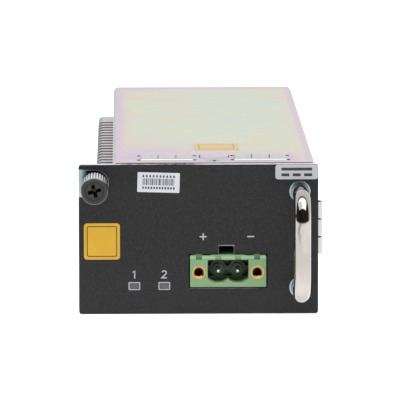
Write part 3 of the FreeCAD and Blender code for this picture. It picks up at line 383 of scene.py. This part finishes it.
def panel_paint():
    """Black texture paint over zinc, bare at the screw, the handle's feet, the top edge and the back; a
    painted reflection on the bare zinc in front and a painted shadow on part of the top edge.
    """
    s = Shader("panel_paint")
    x, y, z = s.place()
    grain, coarse = s.noise(0.16), s.noise(0.7)
    patch, painted_reflection = bare_patches(s, x, z)
    streak = s.span(s.noise(0.9, detail=3.0, stretch=(1, 1, 0.25)), 0.3, 0.7, 0.75, 1.0)
    # the bare zinc between a dark and a light colour by the painted reflection
    zinc = s.mix(s.times(painted_reflection, streak), srgb(40, 46, 48), srgb(190, 214, 220))
    blotch = s.noise(1.6, detail=3.0)
    # painted shadow: part of the top edge drawn dark and not shiny, as the shadow in the seam at the cover
    seam_shadow = s.times(s.within(x, panel_low.x + 10, panel_low.x + 31, 1.5),
                    s.span(blotch, 0.35, 0.6, 1.0, 0.6))
    edge_zinc = s.clouded(blotch, srgb(206, 200, 214), srgb(238, 236, 240), 0.4, 0.6)
    edge_zinc = s.mix(seam_shadow, edge_zinc, srgb(58, 46, 56))
    back_zinc = s.clouded(s.noise(6, detail=3.0), srgb(168, 178, 182), srgb(196, 202, 204), 0.4, 0.6)
    back = s.above(y, face_y + 0.2)
    top = s.above(z, panel_high.z - 0.02)
    bare = s.most(patch, back)
    bare_colour = s.mix(top, s.mix(back, zinc, back_zinc), edge_zinc)
    shiny = s.minus(1.0, s.times(top, seam_shadow))
    s.set(base_color=s.mix(bare, paint_colour(s, x, y, z, coarse), bare_colour),
          metallic=s.times(shiny, s.span(bare, 0, 1, 0.0, 0.9)),
          roughness=s.span(bare, 0, 1, 0.5, 0.32), specular_ior_level=s.times(shiny, 0.3))
    height = s.plus(s.times(grain, 0.7), s.times(coarse, 0.5))
    s.bump(s.times(height, s.span(bare, 0, 1, 1.0, 0.08)), 0.06, 0.5)
    return s.material


# Sheet metal

def edge_distance(s, low, high, unevenness):
    """How far a point on a sheet lies from the nearest edge of its own face."""
    x, y, z = s.place()
    _, looks_y, looks_z = s.facing()
    from_left, from_right = s.minus(x, low.x), s.minus(high.x, x)
    front_share = s.span(from_left, 8.0, 26.0, 0.085, 0.13)
    rear_share = s.span(from_left, 5.0, 30.0, 0.22, 0.5)
    from_y = s.least(s.times(s.minus(y, low.y), front_share), s.times(s.minus(high.y, y), rear_share))
    from_z = s.least(s.minus(z, low.z), s.minus(high.z, z))
    from_x = s.least(from_left, s.times(from_right, 3.0))
    across = s.mix(s.above(looks_z, 0.7), from_z, from_x)
    along = s.mix(s.above(looks_y, 0.7), from_y, from_x)
    warp = s.times(s.minus(s.noise(16, detail=4.0, stretch=(1, 0.6, 1)), 0.5), s.span(from_right, 1.0, 6.0))
    return s.plus(s.least(across, along), s.times(warp, unevenness))


def film_colours(s, low, high):
    """Iridescent chromate film: yellow-green clouds, orange, pink and lilac bands towards the edges."""
    x = s.place()[0]
    looks_z = s.facing()[2]
    inward = edge_distance(s, low, high, 3.2)
    cloud = s.noise(20, detail=4.0, roughness=0.55, stretch=(1.0, 0.55, 1.0), distortion=0.4)
    fine = s.noise(6, detail=4.0, roughness=0.6, stretch=(0.7, 0.7, 1.0))
    drift = s.span(x, low.x + 3, low.x + 28, -0.075, 0.025)
    tint = s.plus(s.times(cloud, 0.78), s.times(fine, 0.22), drift)
    film = s.ramp(tint, (0.29, 217, 202, 188), (0.38, 216, 208, 187), (0.46, 212, 212, 188),
                  (0.53, 208, 214, 195), (0.60, 203, 213, 203), (0.69, 202, 207, 211))
    bands = s.ramp(s.span(inward, -0.6, 7.4), (0.0, 212, 198, 192), (0.10, 210, 194, 202),
                   (0.18, 206, 188, 207), (0.32, 208, 190, 207), (0.46, 214, 197, 196),
                   (0.66, 217, 205, 187), (1.0, 212, 212, 188))
    colour = s.mix(s.span(inward, 2.0, 6.5), bands, film)
    from_right = s.minus(high.x, x)
    right = s.ramp(s.span(from_right, 0.0, 6.0), (0.0, 226, 208, 200), (0.09, 224, 206, 202),
                   (0.16, 206, 188, 208), (0.30, 208, 191, 209), (0.46, 218, 206, 192),
                   (0.8, 216, 211, 188))
    colour = s.mix(s.times(s.span(from_right, 2.2, 6.0, 0.85, 0.0), s.above(looks_z, 0.7)), colour, right)
    left_rim = s.times(s.span(x, low.x + 0.3, low.x + 1.0, 0.8, 0.0), s.above(looks_z, 0.2))
    return s.mix(left_rim, colour, srgb(173, 177, 164))


def sheet_finish(s, colour, matt=None):
    """Fine rolling marks along the sheet's width; matt where the metal doesn't mirror."""
    gloss = 0.92
    brushed = s.noise(0.9, detail=3.0, stretch=(0.12, 1, 1))
    s.set(base_color=colour, metallic=s.span(matt, 0.0, 1.0, gloss, 0.0) if matt else gloss,
          roughness=s.span(brushed, 0.3, 0.7, 0.32, 0.42))
    s.bump(brushed, 0.012, 0.3)
    return s.material


def cover_chromate():
    """The cover's film; its front edge is painted dark as the shadow in the seam behind the panel, and the
    tongue's front edge is painted matt white as a painted highlight.
    """
    s = Shader("cover_chromate")
    y = s.place()[1]
    # painted shadow: the cover's first part behind the panel drawn dark and matt
    front = s.below(y, cover_low.y + 0.8)
    # painted highlight: the tongue's front edge drawn matt white
    tongue = s.times(s.above(s.facing()[1], 0.7),
                     s.within(y, face_y + tongue_setback - 1.0, face_y + tongue_setback + 1.0))
    colour = s.mix(front, film_colours(s, cover_low, cover_high), srgb(48, 40, 48))
    return sheet_finish(s, s.mix(tongue, colour, srgb(250, 250, 252)), s.most(tongue, front))


def tray_chromate():
    """The tray's thinner, greyer film, darker on the outer bend of the vented shoulder."""
    s = Shader("tray_chromate")
    x, _, z = s.place()
    grey = s.clouded(s.noise(7, detail=3.0), srgb(180, 176, 179), srgb(200, 195, 200), 0.4, 0.6)
    colour = s.mix(0.3, grey, film_colours(s, tray_low, tray_high))
    bend = s.times(s.span(x, tray_low.x + 0.5, tray_low.x + 1.6, 1.0, 0.0),
                   s.span(z, shoulder_z - 2.0, shoulder_z - 0.8), 0.8)
    return sheet_finish(s, s.mix(bend, colour, srgb(118, 120, 120)))


def finger_metal():
    """Tinned spring strip: its flat front rail drawn matt white as a painted highlight, and softer fingers,
    darker below the cover's top.
    """
    s = Shader("finger_metal")
    _, y, z = s.place()
    fine = s.noise(0.5, stretch=(0.3, 1, 1))
    # painted highlight: the front rail drawn white and matt
    rail = s.times(s.below(y, strip_low.y + 1.5), s.above(z, cover_top))
    body = s.clouded(fine, srgb(208, 205, 203), srgb(218, 215, 213))
    body = s.mix(s.below(z, cover_top - 0.5), body, srgb(192, 191, 191))
    s.set(base_color=s.mix(rail, body, srgb(252, 252, 254)), metallic=s.span(rail, 0.0, 1.0, 1.0, 0.0),
          roughness=0.3)
    s.bump(fine, 0.006, 0.2)
    return s.material


# Captive screw, handle and header

def knob_black():
    """Black knob: ridges round its side drawn light as a painted highlight, brightest on top, a dull rim
    and a matt end.
    """
    s = Shader("black_knob")
    x, _, z = s.place()
    looks_y = s.facing()[1]
    reach = s.reach(x, z, captive_x, captive_z)
    side = s.span(reach, knob_radius - 0.32, knob_radius - 0.2)
    ridge = s.times(s.span(reach, knob_radius - 0.20, knob_radius - 0.05), s.below(looks_y, 0.35))
    joint = s.within(reach, screw_radius - 0.08, screw_radius + 0.14, 0.05)
    end = s.clouded(s.noise(2.0), srgb(47, 46, 48), srgb(54, 53, 55))
    end = s.mix(s.times(joint, 0.8), end, srgb(20, 20, 22))
    rim = s.above(looks_y, 0.35)
    # painted highlight: the ridges drawn lighter towards the top of the knob
    upper = s.span(s.minus(z, captive_z), 0.4 * knob_radius, 0.9 * knob_radius)
    ridge_highlight = s.mix(upper, srgb(86, 86, 88), srgb(224, 224, 226))
    polish_and_highlight = s.mix(rim, s.mix(ridge, srgb(10, 10, 12), ridge_highlight), srgb(104, 104, 106))
    s.set(base_color=s.mix(side, end, polish_and_highlight), metallic=s.times(side, rim),
          roughness=s.span(side, 0, 1, 0.42, 0.24))
    s.bump(s.noise(0.12), 0.006, 0.2)
    return s.material


def screw_black():
    """Blackened screw: a turned groove round its head drawn dark as painted shade, and painted shade down
    in its recess.
    """
    s = Shader("black_screw")
    x, y, z = s.place()
    # painted shade: a dark ring where the turned groove is
    groove = s.within(s.reach(x, z, captive_x, captive_z), screw_radius - 0.34, screw_radius - 0.08, 0.05)
    # painted shade: darkest deeper in the recess
    depth = s.span(y, screw_low.y + 0.1, screw_low.y + 0.5)
    head = s.clouded(s.noise(0.9), srgb(42, 41, 43), srgb(50, 49, 51))
    head = s.mix(s.times(groove, 0.85), head, srgb(18, 18, 20))
    s.set(base_color=s.mix(depth, head, srgb(14, 14, 15)), metallic=0.0, roughness=0.4)
    s.bump(s.noise(0.15), 0.015, 0.3)
    return s.material


def nickel():
    """Polished nickel plate, a little tarnished; lighter low down and with a dark streak below the upper
    bend, both painted reflection.
    """
    s = Shader("nickel")
    x, y, z = s.place()
    # painted reflection: the plate drawn lighter low down
    low = s.span(z, handle_low.z + 4.0, handle_low.z + 12.0, 1.0, 0.0)
    cloud = s.noise(5, detail=4.0, stretch=(1.6, 1, 0.6))
    plate = s.mix(low, s.clouded(cloud, srgb(174, 167, 161), srgb(188, 181, 175)),
                  s.clouded(cloud, srgb(190, 183, 178), srgb(200, 193, 189)))
    # painted reflection: a dark bluish streak below the upper bend
    wander = s.times(s.minus(s.noise(2.4, detail=3.0), 0.5), 1.6)
    aside = s.math("ABSOLUTE", s.plus(s.minus(x, handle_x - 0.75), wander))
    streak = s.times(s.span(aside, 0.15, 0.55, 1.0, 0.0),
                     s.span(z, handle_high.z - 14.0, handle_high.z - 9.5),
                     s.below(y, handle_low.y + 2.5), 0.75)
    fine = s.noise(2.5)
    s.set(base_color=s.mix(streak, plate, srgb(96, 104, 116)), metallic=1.0,
          roughness=s.span(fine, 0.3, 0.7, 0.07, 0.1))
    s.bump(fine, 0.004, 0.25)
    return s.material


def brass():
    """Turned brass with its thread in the bore, which is drawn dark as painted shade."""
    s = Shader("brass")
    y = s.place()[1]
    fine = s.noise(0.25)
    # painted shade: the bore drawn dark behind the insert's face
    bore = s.span(y, insert_face + 0.5, insert_face + 0.9)
    thread = s.times(s.wave(0.45, "Y"), s.above(y, insert_face + 1.2))
    face = s.clouded(fine, srgb(190, 152, 94), srgb(206, 168, 110), 0.3, 0.7)
    s.set(base_color=s.mix(bore, face, srgb(60, 44, 26)), metallic=1.0,
          roughness=s.span(fine, 0.3, 0.7, 0.24, 0.32))
    s.bump(s.plus(s.times(fine, 0.06), thread), 0.04, 0.5)
    return s.material


def header_green():
    """Green moulding with painted light and shade: a painted highlight under its top edge, its socket's
    front floor and its ears drawn lit, and painted shade deeper in the socket.
    """
    s = Shader("green_plastic")
    x, y, z = s.place()
    base = s.clouded(s.noise(7), srgb(132, 170, 124), srgb(140, 177, 132))
    # painted highlight: a lighter band under the top edge
    edge = s.within(z, header_high.z - 0.95, header_high.z - 0.35, 0.12)
    base = s.mix(s.times(edge, 0.7), base, srgb(172, 208, 164))
    inward = s.minus(y, header_low.y)
    behind_face = s.span(inward, 0.15, 0.4)
    # painted light: the front of the socket's floor and the ears drawn lit
    floor = s.span(z, header_low.z + 2.6, header_low.z + 3.8, 1.0, 0.0)
    keys = s.span(z, header_high.z - 1.7, header_high.z - 1.4)
    ears = s.times(s.above(s.math("ABSOLUTE", s.minus(x, header_x)), 6.5), s.above(z, header_high.z - 1.7))
    front_floor = s.times(floor, behind_face, s.span(inward, 4.5, 7.0, 1.0, 0.0))
    lit = s.most(front_floor, s.times(ears, behind_face))
    base = s.mix(s.times(lit, 0.9), base, srgb(206, 240, 196))
    # painted shade: darker the deeper in the socket
    depth = s.minus(inward, s.times(s.most(floor, keys), 3.6))
    base = s.mix(s.span(depth, 1.2, 4.6, 0.0, 0.6), base, srgb(24, 50, 34))
    base = s.mix(s.span(depth, 7.4, 9.4, 0.0, 0.8), base, srgb(12, 22, 16))
    s.set(base_color=base, roughness=0.38, specular_ior_level=0.4)
    s.bump(s.noise(0.12), 0.01, 0.3)
    return s.material


def window_plastic():
    """Frosted window with the fine ribs that spread the light."""
    s = Shader("clear_plastic")
    ribs = s.wave(0.3, "Z")
    s.set(base_color=s.mix(ribs, srgb(74, 75, 76), srgb(128, 130, 131)), roughness=0.3,
          specular_ior_level=0.5)
    s.bump(ribs, 0.05, 0.6)
    return s.material


# Plain metals and plastics, and the parts inside

def metal(name, dark, light, rough, cloud=3.0, stretch=(1, 1, 1)):
    """Bare or plated metal, clouded between two colours."""
    s = Shader(name)
    fine = s.noise(0.4, stretch=stretch)
    s.set(base_color=s.clouded(s.noise(cloud, detail=3.0), dark, light), metallic=1.0,
          roughness=s.span(fine, 0.3, 0.7, rough * 0.85, rough * 1.15))
    s.bump(fine, 0.01, 0.25)
    return s.material


def plastic(name, dark, light, rough, cloud=4.0, grain=0.12, bump=0.01, level=0.5):
    """Moulded or coated surface with a fine grain, clouded between two colours."""
    s = Shader(name)
    fine = s.noise(grain)
    s.set(base_color=s.clouded(s.noise(cloud), dark, light),
          roughness=s.span(fine, 0.3, 0.7, rough * 0.9, rough * 1.1), specular_ior_level=level)
    s.bump(fine, bump, 0.3)
    return s.material


def label_stock(name, colour, shade):
    """Coated label film, faintly uneven."""
    return plastic(name, tuple(c * shade for c in colour), colour, 0.4, cloud=6.0, grain=0.5, bump=0.006)


def wound_wire():
    """Enamelled turns seen as fine ridges."""
    s = Shader("copper")
    turns = s.wave(1.1, "X", distortion=0.4)
    s.set(base_color=s.mix(turns, srgb(98, 44, 22), srgb(190, 102, 56)), metallic=0.8, roughness=0.32)
    s.bump(turns, 0.3, 0.8)
    return s.material


def laminate():
    """Solder-masked board, its tracks a shade lighter."""
    s = Shader("board_laminate")
    tracks = s.span(s.noise(5, detail=0.0, stretch=(1, 0.15, 1)), 0.48, 0.52)
    s.set(base_color=s.mix(tracks, srgb(16, 70, 38), srgb(26, 94, 52)), roughness=0.38)
    s.bump(s.plus(tracks, s.noise(0.7, stretch=(1, 0.3, 1))), 0.03, 0.4)
    return s.material


metals = {
    "zinc_screw": dict(dark=srgb(150, 160, 166), light=srgb(196, 206, 210), rough=0.30, cloud=1.5),
    "spring_steel": dict(dark=srgb(150, 150, 152), light=srgb(186, 186, 188), rough=0.26),
    "tin": dict(dark=srgb(206, 206, 202), light=srgb(226, 226, 222), rough=0.24),
    "anodised": dict(dark=srgb(36, 36, 38), light=srgb(54, 54, 56), rough=0.4, stretch=(1, 0.1, 1)),
    "gold_contact": dict(dark=srgb(204, 172, 98), light=srgb(222, 194, 122), rough=0.22),
}
plastics = {
    "led_body": dict(dark=srgb(220, 218, 206), light=srgb(232, 230, 220), rough=0.4),
    "film": dict(dark=srgb(178, 176, 160), light=srgb(192, 190, 174), rough=0.35),
    "glass_tube": dict(dark=srgb(196, 202, 198), light=srgb(212, 218, 214), rough=0.12, level=0.6),
    "ferrite": dict(dark=srgb(50, 50, 53), light=srgb(66, 66, 70), rough=0.55, bump=0.04),
    "yellow_case": dict(dark=srgb(200, 162, 50), light=srgb(216, 180, 66), rough=0.45),
    "blue_coating": dict(dark=srgb(34, 78, 138), light=srgb(44, 94, 156), rough=0.35),
    "can_sleeve": dict(dark=srgb(36, 34, 46), light=srgb(48, 46, 60), rough=0.3),
    "black_plastic": dict(dark=srgb(28, 28, 29), light=srgb(36, 36, 37), rough=0.45),
    "coil_tape": dict(dark=srgb(208, 176, 70), light=srgb(226, 196, 92), rough=0.35),
    "white_print": dict(dark=srgb(182, 186, 194), light=srgb(194, 198, 206), rough=0.5, cloud=0.8),
    "dark_print": dict(dark=srgb(48, 48, 50), light=srgb(62, 62, 64), rough=0.5, cloud=0.8),
    "pale_print": dict(dark=srgb(150, 126, 80), light=srgb(158, 134, 86), rough=0.5),
}
stocks = {
    "white_label": dict(colour=srgb(226, 227, 236), shade=0.95),
    "tab_label": dict(colour=srgb(200, 201, 207), shade=0.97),
    "yellow_label": dict(colour=srgb(234, 182, 42), shade=0.96),
    "pale_label": dict(colour=srgb(197, 169, 106), shade=0.96),
    "clear_film": dict(colour=srgb(188, 188, 184), shade=0.97),
}


def build_materials():
    """Materials by the record's slot, and the sheets' and the printing's."""
    made = {
        "panel_paint": panel_paint(),
        "cover": cover_chromate(),
        "tray": tray_chromate(),
        "finger_metal": finger_metal(),
        "nickel": nickel(),
        "black_knob": knob_black(),
        "black_screw": screw_black(),
        "green_plastic": header_green(),
        "brass": brass(),
        "clear_plastic": window_plastic(),
        "board_laminate": laminate(),
        "copper": wound_wire(),
    }
    for make, looks in ((metal, metals), (plastic, plastics), (label_stock, stocks)):
        made.update({name: make(name, **look) for name, look in looks.items()})
    return made


def dress_nodes():
    """Every CAD node gets its material."""
    slots = {part["node"]: part["material_slot"] for part in frame["record"]["subparts"]}
    sheets = {"top_cover": "cover", "base_tray": "tray"}
    for name, node in frame["nodes"].items():
        node.data.materials.clear()
        node.data.materials.append(materials[sheets.get(name, slots[name])])


# Pieces

def add_piece(name, points, faces, material, body="module", slot=None):
    """A piece from points in millimetres, riding on a body."""
    mesh = bpy.data.meshes.new(name)
    mesh.from_pydata([tuple(c * MM for c in p) for p in points], [], faces)
    mesh.materials.append(materials[material])
    mesh.validate()
    piece = bpy.data.objects.new(name, mesh)
    bpy.context.scene.collection.objects.link(piece)
    bm = bmesh.new()
    bm.from_mesh(mesh)
    bmesh.ops.recalc_face_normals(bm, faces=bm.faces)
    bm.to_mesh(mesh)
    bm.free()
    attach(piece, body)
    return piece


def slab(outlines, place, gauge):
    """Points and faces of flat outlines raised by gauge; place turns (u, v, height) into (x, y, z)."""
    points, faces = [], []
    for outline in outlines:
        start, count = len(points), len(outline)
        points += [place(u, v, 0.0) for u, v in outline] + [place(u, v, gauge) for u, v in outline]
        faces.append([start + i for i in range(count)][::-1])
        faces.append([start + count + i for i in range(count)])
        for i in range(count):
            j = (i + 1) % count
            faces.append([start + i, start + j, start + count + j, start + count + i])
    return points, faces


def on_panel(x, z, turn=0.0, lift=0.0):
    """Places (u, v) on the panel's face round (x, z), turned by degrees, lifted off it by lift."""
    c, s = math.cos(math.radians(turn)), math.sin(math.radians(turn))
    return lambda u, v, h: (x + u * c - v * s, face_y - lift - h, z + u * s + v * c)


def on_cover(x, y, lift=0.0):
    """Places (u, v) on the cover round (x, y), lifted off it by lift."""
    return lambda u, v, h: (x + u, y + v, cover_top + lift + h)


def rectangle(width, height, u=0.0, v=0.0):
    return [(u - width / 2, v - height / 2), (u + width / 2, v - height / 2),
            (u + width / 2, v + height / 2), (u - width / 2, v + height / 2)]


def round_rectangle(width, height, corner, steps=6):
    points = []
    for quarter, (side_u, side_v) in enumerate(((1, 1), (-1, 1), (-1, -1), (1, -1))):
        for i in range(steps + 1):
            angle = math.radians(90 * (quarter + i / steps))
            points.append((side_u * (width / 2 - corner) + corner * math.cos(angle),
                           side_v * (height / 2 - corner) + corner * math.sin(angle)))
    return points


def ribbon(line, width):
    """Outlines of a stroke along line: one four-sided outline for each step."""
    normals = []
    for a, b in zip(line, line[1:]):
        length = math.hypot(b[0] - a[0], b[1] - a[1])
        normals.append(((a[1] - b[1]) / length, (b[0] - a[0]) / length))
    sides = []
    for i, (u, v) in enumerate(line):
        n0, n1 = normals[max(i - 1, 0)], normals[min(i, len(normals) - 1)]
        share = width / (1 + n0[0] * n1[0] + n0[1] * n1[1]) / 2
        du, dv = share * (n0[0] + n1[0]), share * (n0[1] + n1[1])
        sides.append(((u + du, v + dv), (u - du, v - dv)))
    return [[a[0], b[0], b[1], a[1]] for a, b in zip(sides, sides[1:])]


def border(width, height, corner, line):
    """A thin frame as one outline for each step round it."""
    outer = round_rectangle(width, height, corner)
    inner = round_rectangle(width - 2 * line, height - 2 * line, max(corner - line, 0.01))
    ring = list(zip(outer, inner))
    return [[a[0], b[0], b[1], a[1]] for a, b in zip(ring, ring[1:] + ring[:1])]


def print_on(name, outlines, place, material, gauge=print_gauge):
    add_piece(name, *slab(outlines, place, gauge), material)


def add_label(name, label, place, material=None):
    """A label's bare stock; the material has the label's name unless another is given."""
    stock = [round_rectangle(label["width"], label["height"], label["corner"])]
    print_on(name, stock, place, material or name, label_gauge)


# Printing: plain signs and numbers only

def add_window_frames():
    outlines = border(**window_frame)
    for side, x in zip(("left", "right"), window_xs):
        print_on(f"window_frame_{side}", outlines, on_panel(x, window_z), "white_print")


def add_window_numbers():
    """1 and 2 over the two status windows."""
    h, line = window_number["height"], window_number["line"]
    flag = [(-0.45, 0.28 * h), (0.08, 0.5 * h - line / 2)]
    stem = [(0.1, 0.5 * h), (0.1, -0.5 * h)]
    bow = [(0.52 * math.cos(math.radians(a)), 0.22 * h + 0.5 * math.sin(math.radians(a)))
           for a in range(170, -51, -20)]
    foot = [(-0.62, -0.5 * h + line / 2), (0.68, -0.5 * h + line / 2)]
    numbers = (ribbon(flag, line) + ribbon(stem, line), ribbon(bow + foot, line))
    for i, (outlines, x) in enumerate(zip(numbers, window_xs)):
        print_on(f"number_{i + 1}", outlines, on_panel(x, window_number["z"]), "white_print")


def add_pole_signs():
    """Plus and minus over the header's two poles."""
    width, line = pole_sign["width"], pole_sign["line"]
    minus = [rectangle(width, line)]
    plus = minus + [rectangle(line, (width - line) / 2, 0, side * (width + line) / 4) for side in (-1, 1)]
    for name, outlines, x in zip(("sign_plus", "sign_minus"), (plus, minus), pole_sign["xs"]):
        print_on(name, outlines, on_panel(x, pole_sign["z"]), "white_print")


def add_white_label():
    """White label with plain bars between two rows of plain dashes."""
    at = white_label
    add_label("white_label", at, on_panel(at["x"], at["z"], at["turn"]))
    marks = []
    u, step = label_bars["start"], 0
    while u < label_bars["end"]:
        width = label_bars["widths"][step % len(label_bars["widths"])]
        marks.append(rectangle(width, label_bars["height"], u + width / 2, label_bars["z"]))
        u += width + label_bars["gaps"][step % len(label_bars["gaps"])]
        step += 1
    for v, count in label_dashes["rows"]:
        for i in range(count):
            u = label_dashes["span"] * (i / (count - 1) - 0.5)
            marks.append(rectangle(label_dashes["width"], label_dashes["height"], u, v))
    print_on("white_label_marks", marks, on_panel(at["x"], at["z"], at["turn"], label_gauge), "dark_print",
             label_print_gauge)


def add_yellow_label():
    """Plain yellow label with a thin printed frame."""
    at, inset = yellow_label, yellow_border["inset"]
    add_label("yellow_label", at, on_panel(at["x"], at["z"]))
    outlines = border(at["width"] - 2 * inset, at["height"] - 2 * inset, yellow_border["corner"],
                      yellow_border["line"])
    print_on("yellow_label_frame", outlines, on_panel(at["x"], at["z"], lift=label_gauge), "dark_print",
             label_print_gauge)


def add_tab_label():
    """Grey tab with the sign for direct current: a bar over three dashes."""
    at = tab_label
    add_label("tab_label", at, on_panel(at["x"], at["z"]))
    width, line, rise = current_sign["width"], current_sign["line"], current_sign["rise"]
    marks = [rectangle(width, line, 0, rise)]
    marks += [rectangle(width * current_sign["dash"], line, side * width * current_sign["spread"], -rise)
              for side in (-1, 0, 1)]
    print_on("tab_label_sign", marks, on_panel(at["x"], at["z"], lift=label_gauge), "dark_print",
             label_print_gauge)


def add_top_label():
    """Plain pale label on the cover, the film of an older one beside it."""
    at, y = top_label, face_y + top_label["y"]
    add_label("top_label", at, on_cover(at["x"], y), "pale_label")
    outlines = border(at["width"] - 2 * top_border["side"], at["height"] - 2 * top_border["end"],
                      top_border["corner"], top_border["line"])
    print_on("top_label_frame", outlines, on_cover(at["x"], y, label_gauge), "pale_print",
             label_print_gauge)
    film = round_rectangle(top_film["width"], at["height"] - top_film["shorter"], top_film["corner"])
    print_on("top_film", [film], on_cover(at["x"] - at["width"] / 2 - top_film["gap"], y), "clear_film",
             top_film["gauge"])


# Thread and spring

def round_captive(radius, angle, y):
    """A point round the captive screw's axis."""
    return captive_x + radius * math.cos(angle), y, captive_z + radius * math.sin(angle)


def add_captive_thread():
    """The captive screw's thread behind the retaining clip."""
    spacing, steps = screw_thread["pitch"], screw_thread["steps"]
    start, end = clip_end + screw_thread["clearance"], screw_high.y - screw_thread["chamfer"]
    root = screw_thread["root"]
    total = int(steps * ((end - start) / spacing - 0.5))
    points, faces = [], []
    for i in range(total + 1):
        angle, y = 2 * math.pi * i / steps, start + spacing * i / steps
        fade = min(1.0, 2 * i / steps, 2 * (total - i) / steps)
        crest = root + screw_thread["rise"] * fade
        for radius, along in ((root, 0.0), (crest, 0.25), (root, 0.5)):
            points.append(round_captive(radius, angle, y + along * spacing))
    for i in range(total):
        a, b = 3 * i, 3 * (i + 1)
        faces += [[a, b, b + 1, a + 1], [a + 1, b + 1, b + 2, a + 2]]
    add_piece("captive_screw_thread", points, faces, "black_screw", "captive_turner", "black_screw")


def add_captive_spring():
    """The captive screw's coil spring."""
    wire, steps, sides = spring["wire"], spring["steps"], spring["sides"]
    full = spring_high.y - spring_low.y
    radius = (spring_high.x - spring_low.x) / 2 - wire
    count = steps * spring["turns"]
    points, faces = [], []
    for i in range(count + 1):
        y = spring_low.y + wire + (full - 2 * wire) * i / count
        for k in range(sides):
            turn = 2 * math.pi * k / sides
            points.append(round_captive(radius + wire * math.cos(turn), 2 * math.pi * i / steps,
                                        y + wire * math.sin(turn)))
    for i in range(count):
        for k in range(sides):
            a, b = sides * i + k, sides * i + (k + 1) % sides
            faces.append([a, b, b + sides, a + sides])
    faces.append(list(range(sides)))
    faces.append([sides * count + k for k in range(sides)][::-1])
    coil = add_piece("captive_spring_coil", points, faces, "spring_steel", "module", "spring_steel")
    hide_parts("captive_spring")
    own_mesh(coil)


# Floor, light and camera

def make_floor():
    """White floor that keeps the object's shadow."""
    s = Shader("floor_white")
    s.set(base_color=(floor_albedo,) * 3, roughness=0.9, specular_ior_level=0.1)
    rays = s.add("ShaderNodeLightPath").outputs
    glow = s.add("ShaderNodeEmission")
    mirrored = s.most(rays["Is Glossy Ray"], rays["Is Transmission Ray"])
    s.put(glow.inputs["Strength"], s.most(s.times(rays["Is Camera Ray"], floor_glow["camera"]),
                                          s.times(mirrored, floor_glow["gloss"])))
    both = s.add("ShaderNodeAddShader")
    s.put(both.inputs[0], s.surface.outputs[0])
    s.put(both.inputs[1], glow.outputs[0])
    s.put(s.tree.nodes["Material Output"].inputs["Surface"], both.outputs[0])
    mesh = bpy.data.meshes.new("floor")
    corners = [(-1, -1), (1, -1), (1, 1), (-1, 1)]
    mesh.from_pydata([(x * floor_half, y * floor_half, 0) for x, y in corners], [], [(0, 1, 2, 3)])
    mesh.materials.append(s.material)
    floor = bpy.data.objects.new("floor", mesh)
    floor.location.z = cad_box[0][2] - floor_gap
    bpy.context.scene.collection.objects.link(floor)


def make_world():
    """White all round, with a dark side in front of the module that only gloss and light see."""
    world = bpy.data.worlds.new("studio")
    world.use_nodes = True
    tree = Tree(world.node_tree)
    background = world.node_tree.nodes["Background"]
    background.inputs["Color"].default_value = (1, 1, 1, 1)
    rays = tree.add("ShaderNodeLightPath").outputs
    _, way_y, way_z = tree.axes(tree.add("ShaderNodeTexCoord").outputs["Generated"])
    ahead = tree.minus(way_y, tree.times(way_z, dark_side["lean"]))
    above_floor = tree.span(way_z, -dark_side["horizon"], dark_side["horizon"])
    dark = tree.times(tree.span(ahead, dark_side["start"], dark_side["full"]), above_floor)
    gloss = tree.most(rays["Is Glossy Ray"], rays["Is Transmission Ray"])
    strength = tree.most(tree.times(gloss, tree.span(dark, 0.0, 1.0, *studio_gloss)),
                         tree.times(rays["Is Diffuse Ray"], tree.span(dark, 0.0, 1.0, *studio_light)),
                         rays["Is Camera Ray"])
    tree.put(background.inputs["Strength"], strength)
    bpy.context.scene.world = world


def make_light():
    """A wide softbox over the module."""
    place, target = Vector(softbox["place"]), Vector(softbox["target"])
    data = bpy.data.lights.new("softbox", "AREA")
    data.shape = "RECTANGLE"
    data.size, data.size_y = softbox["width"], softbox["depth"]
    data.energy = softbox["power"]
    light = bpy.data.objects.new("softbox", data)
    light.location = place
    light.rotation_euler = (target - place).to_track_quat("-Z", "Y").to_euler()
    bpy.context.scene.collection.objects.link(light)


def make_camera():
    """Long lens 1.2 m in front of the panel, above and a little left, with no shift."""
    data = bpy.data.cameras.new("camera")
    data.lens = lens
    data.sensor_width = 36
    data.clip_end = 20
    camera = bpy.data.objects.new("camera", data)
    camera.location = Vector(eye) * MM
    ahead = Vector((math.sin(yaw) * math.cos(pitch), math.cos(yaw) * math.cos(pitch), -math.sin(pitch)))
    turn = ahead.to_track_quat("-Z", "Y").to_matrix()
    camera.rotation_euler = (turn @ Matrix.Rotation(roll, 3, "Z")).to_euler()
    bpy.context.scene.collection.objects.link(camera)
    bpy.context.scene.camera = camera


# Build

bpy.context.scene.view_settings.view_transform = "Standard"
make_world()
make_floor()
make_light()
make_camera()
materials = build_materials()
dress_nodes()
add_window_frames()
add_window_numbers()
add_pole_signs()
add_white_label()
add_yellow_label()
add_tab_label()
add_top_label()
add_captive_thread()
add_captive_spring()
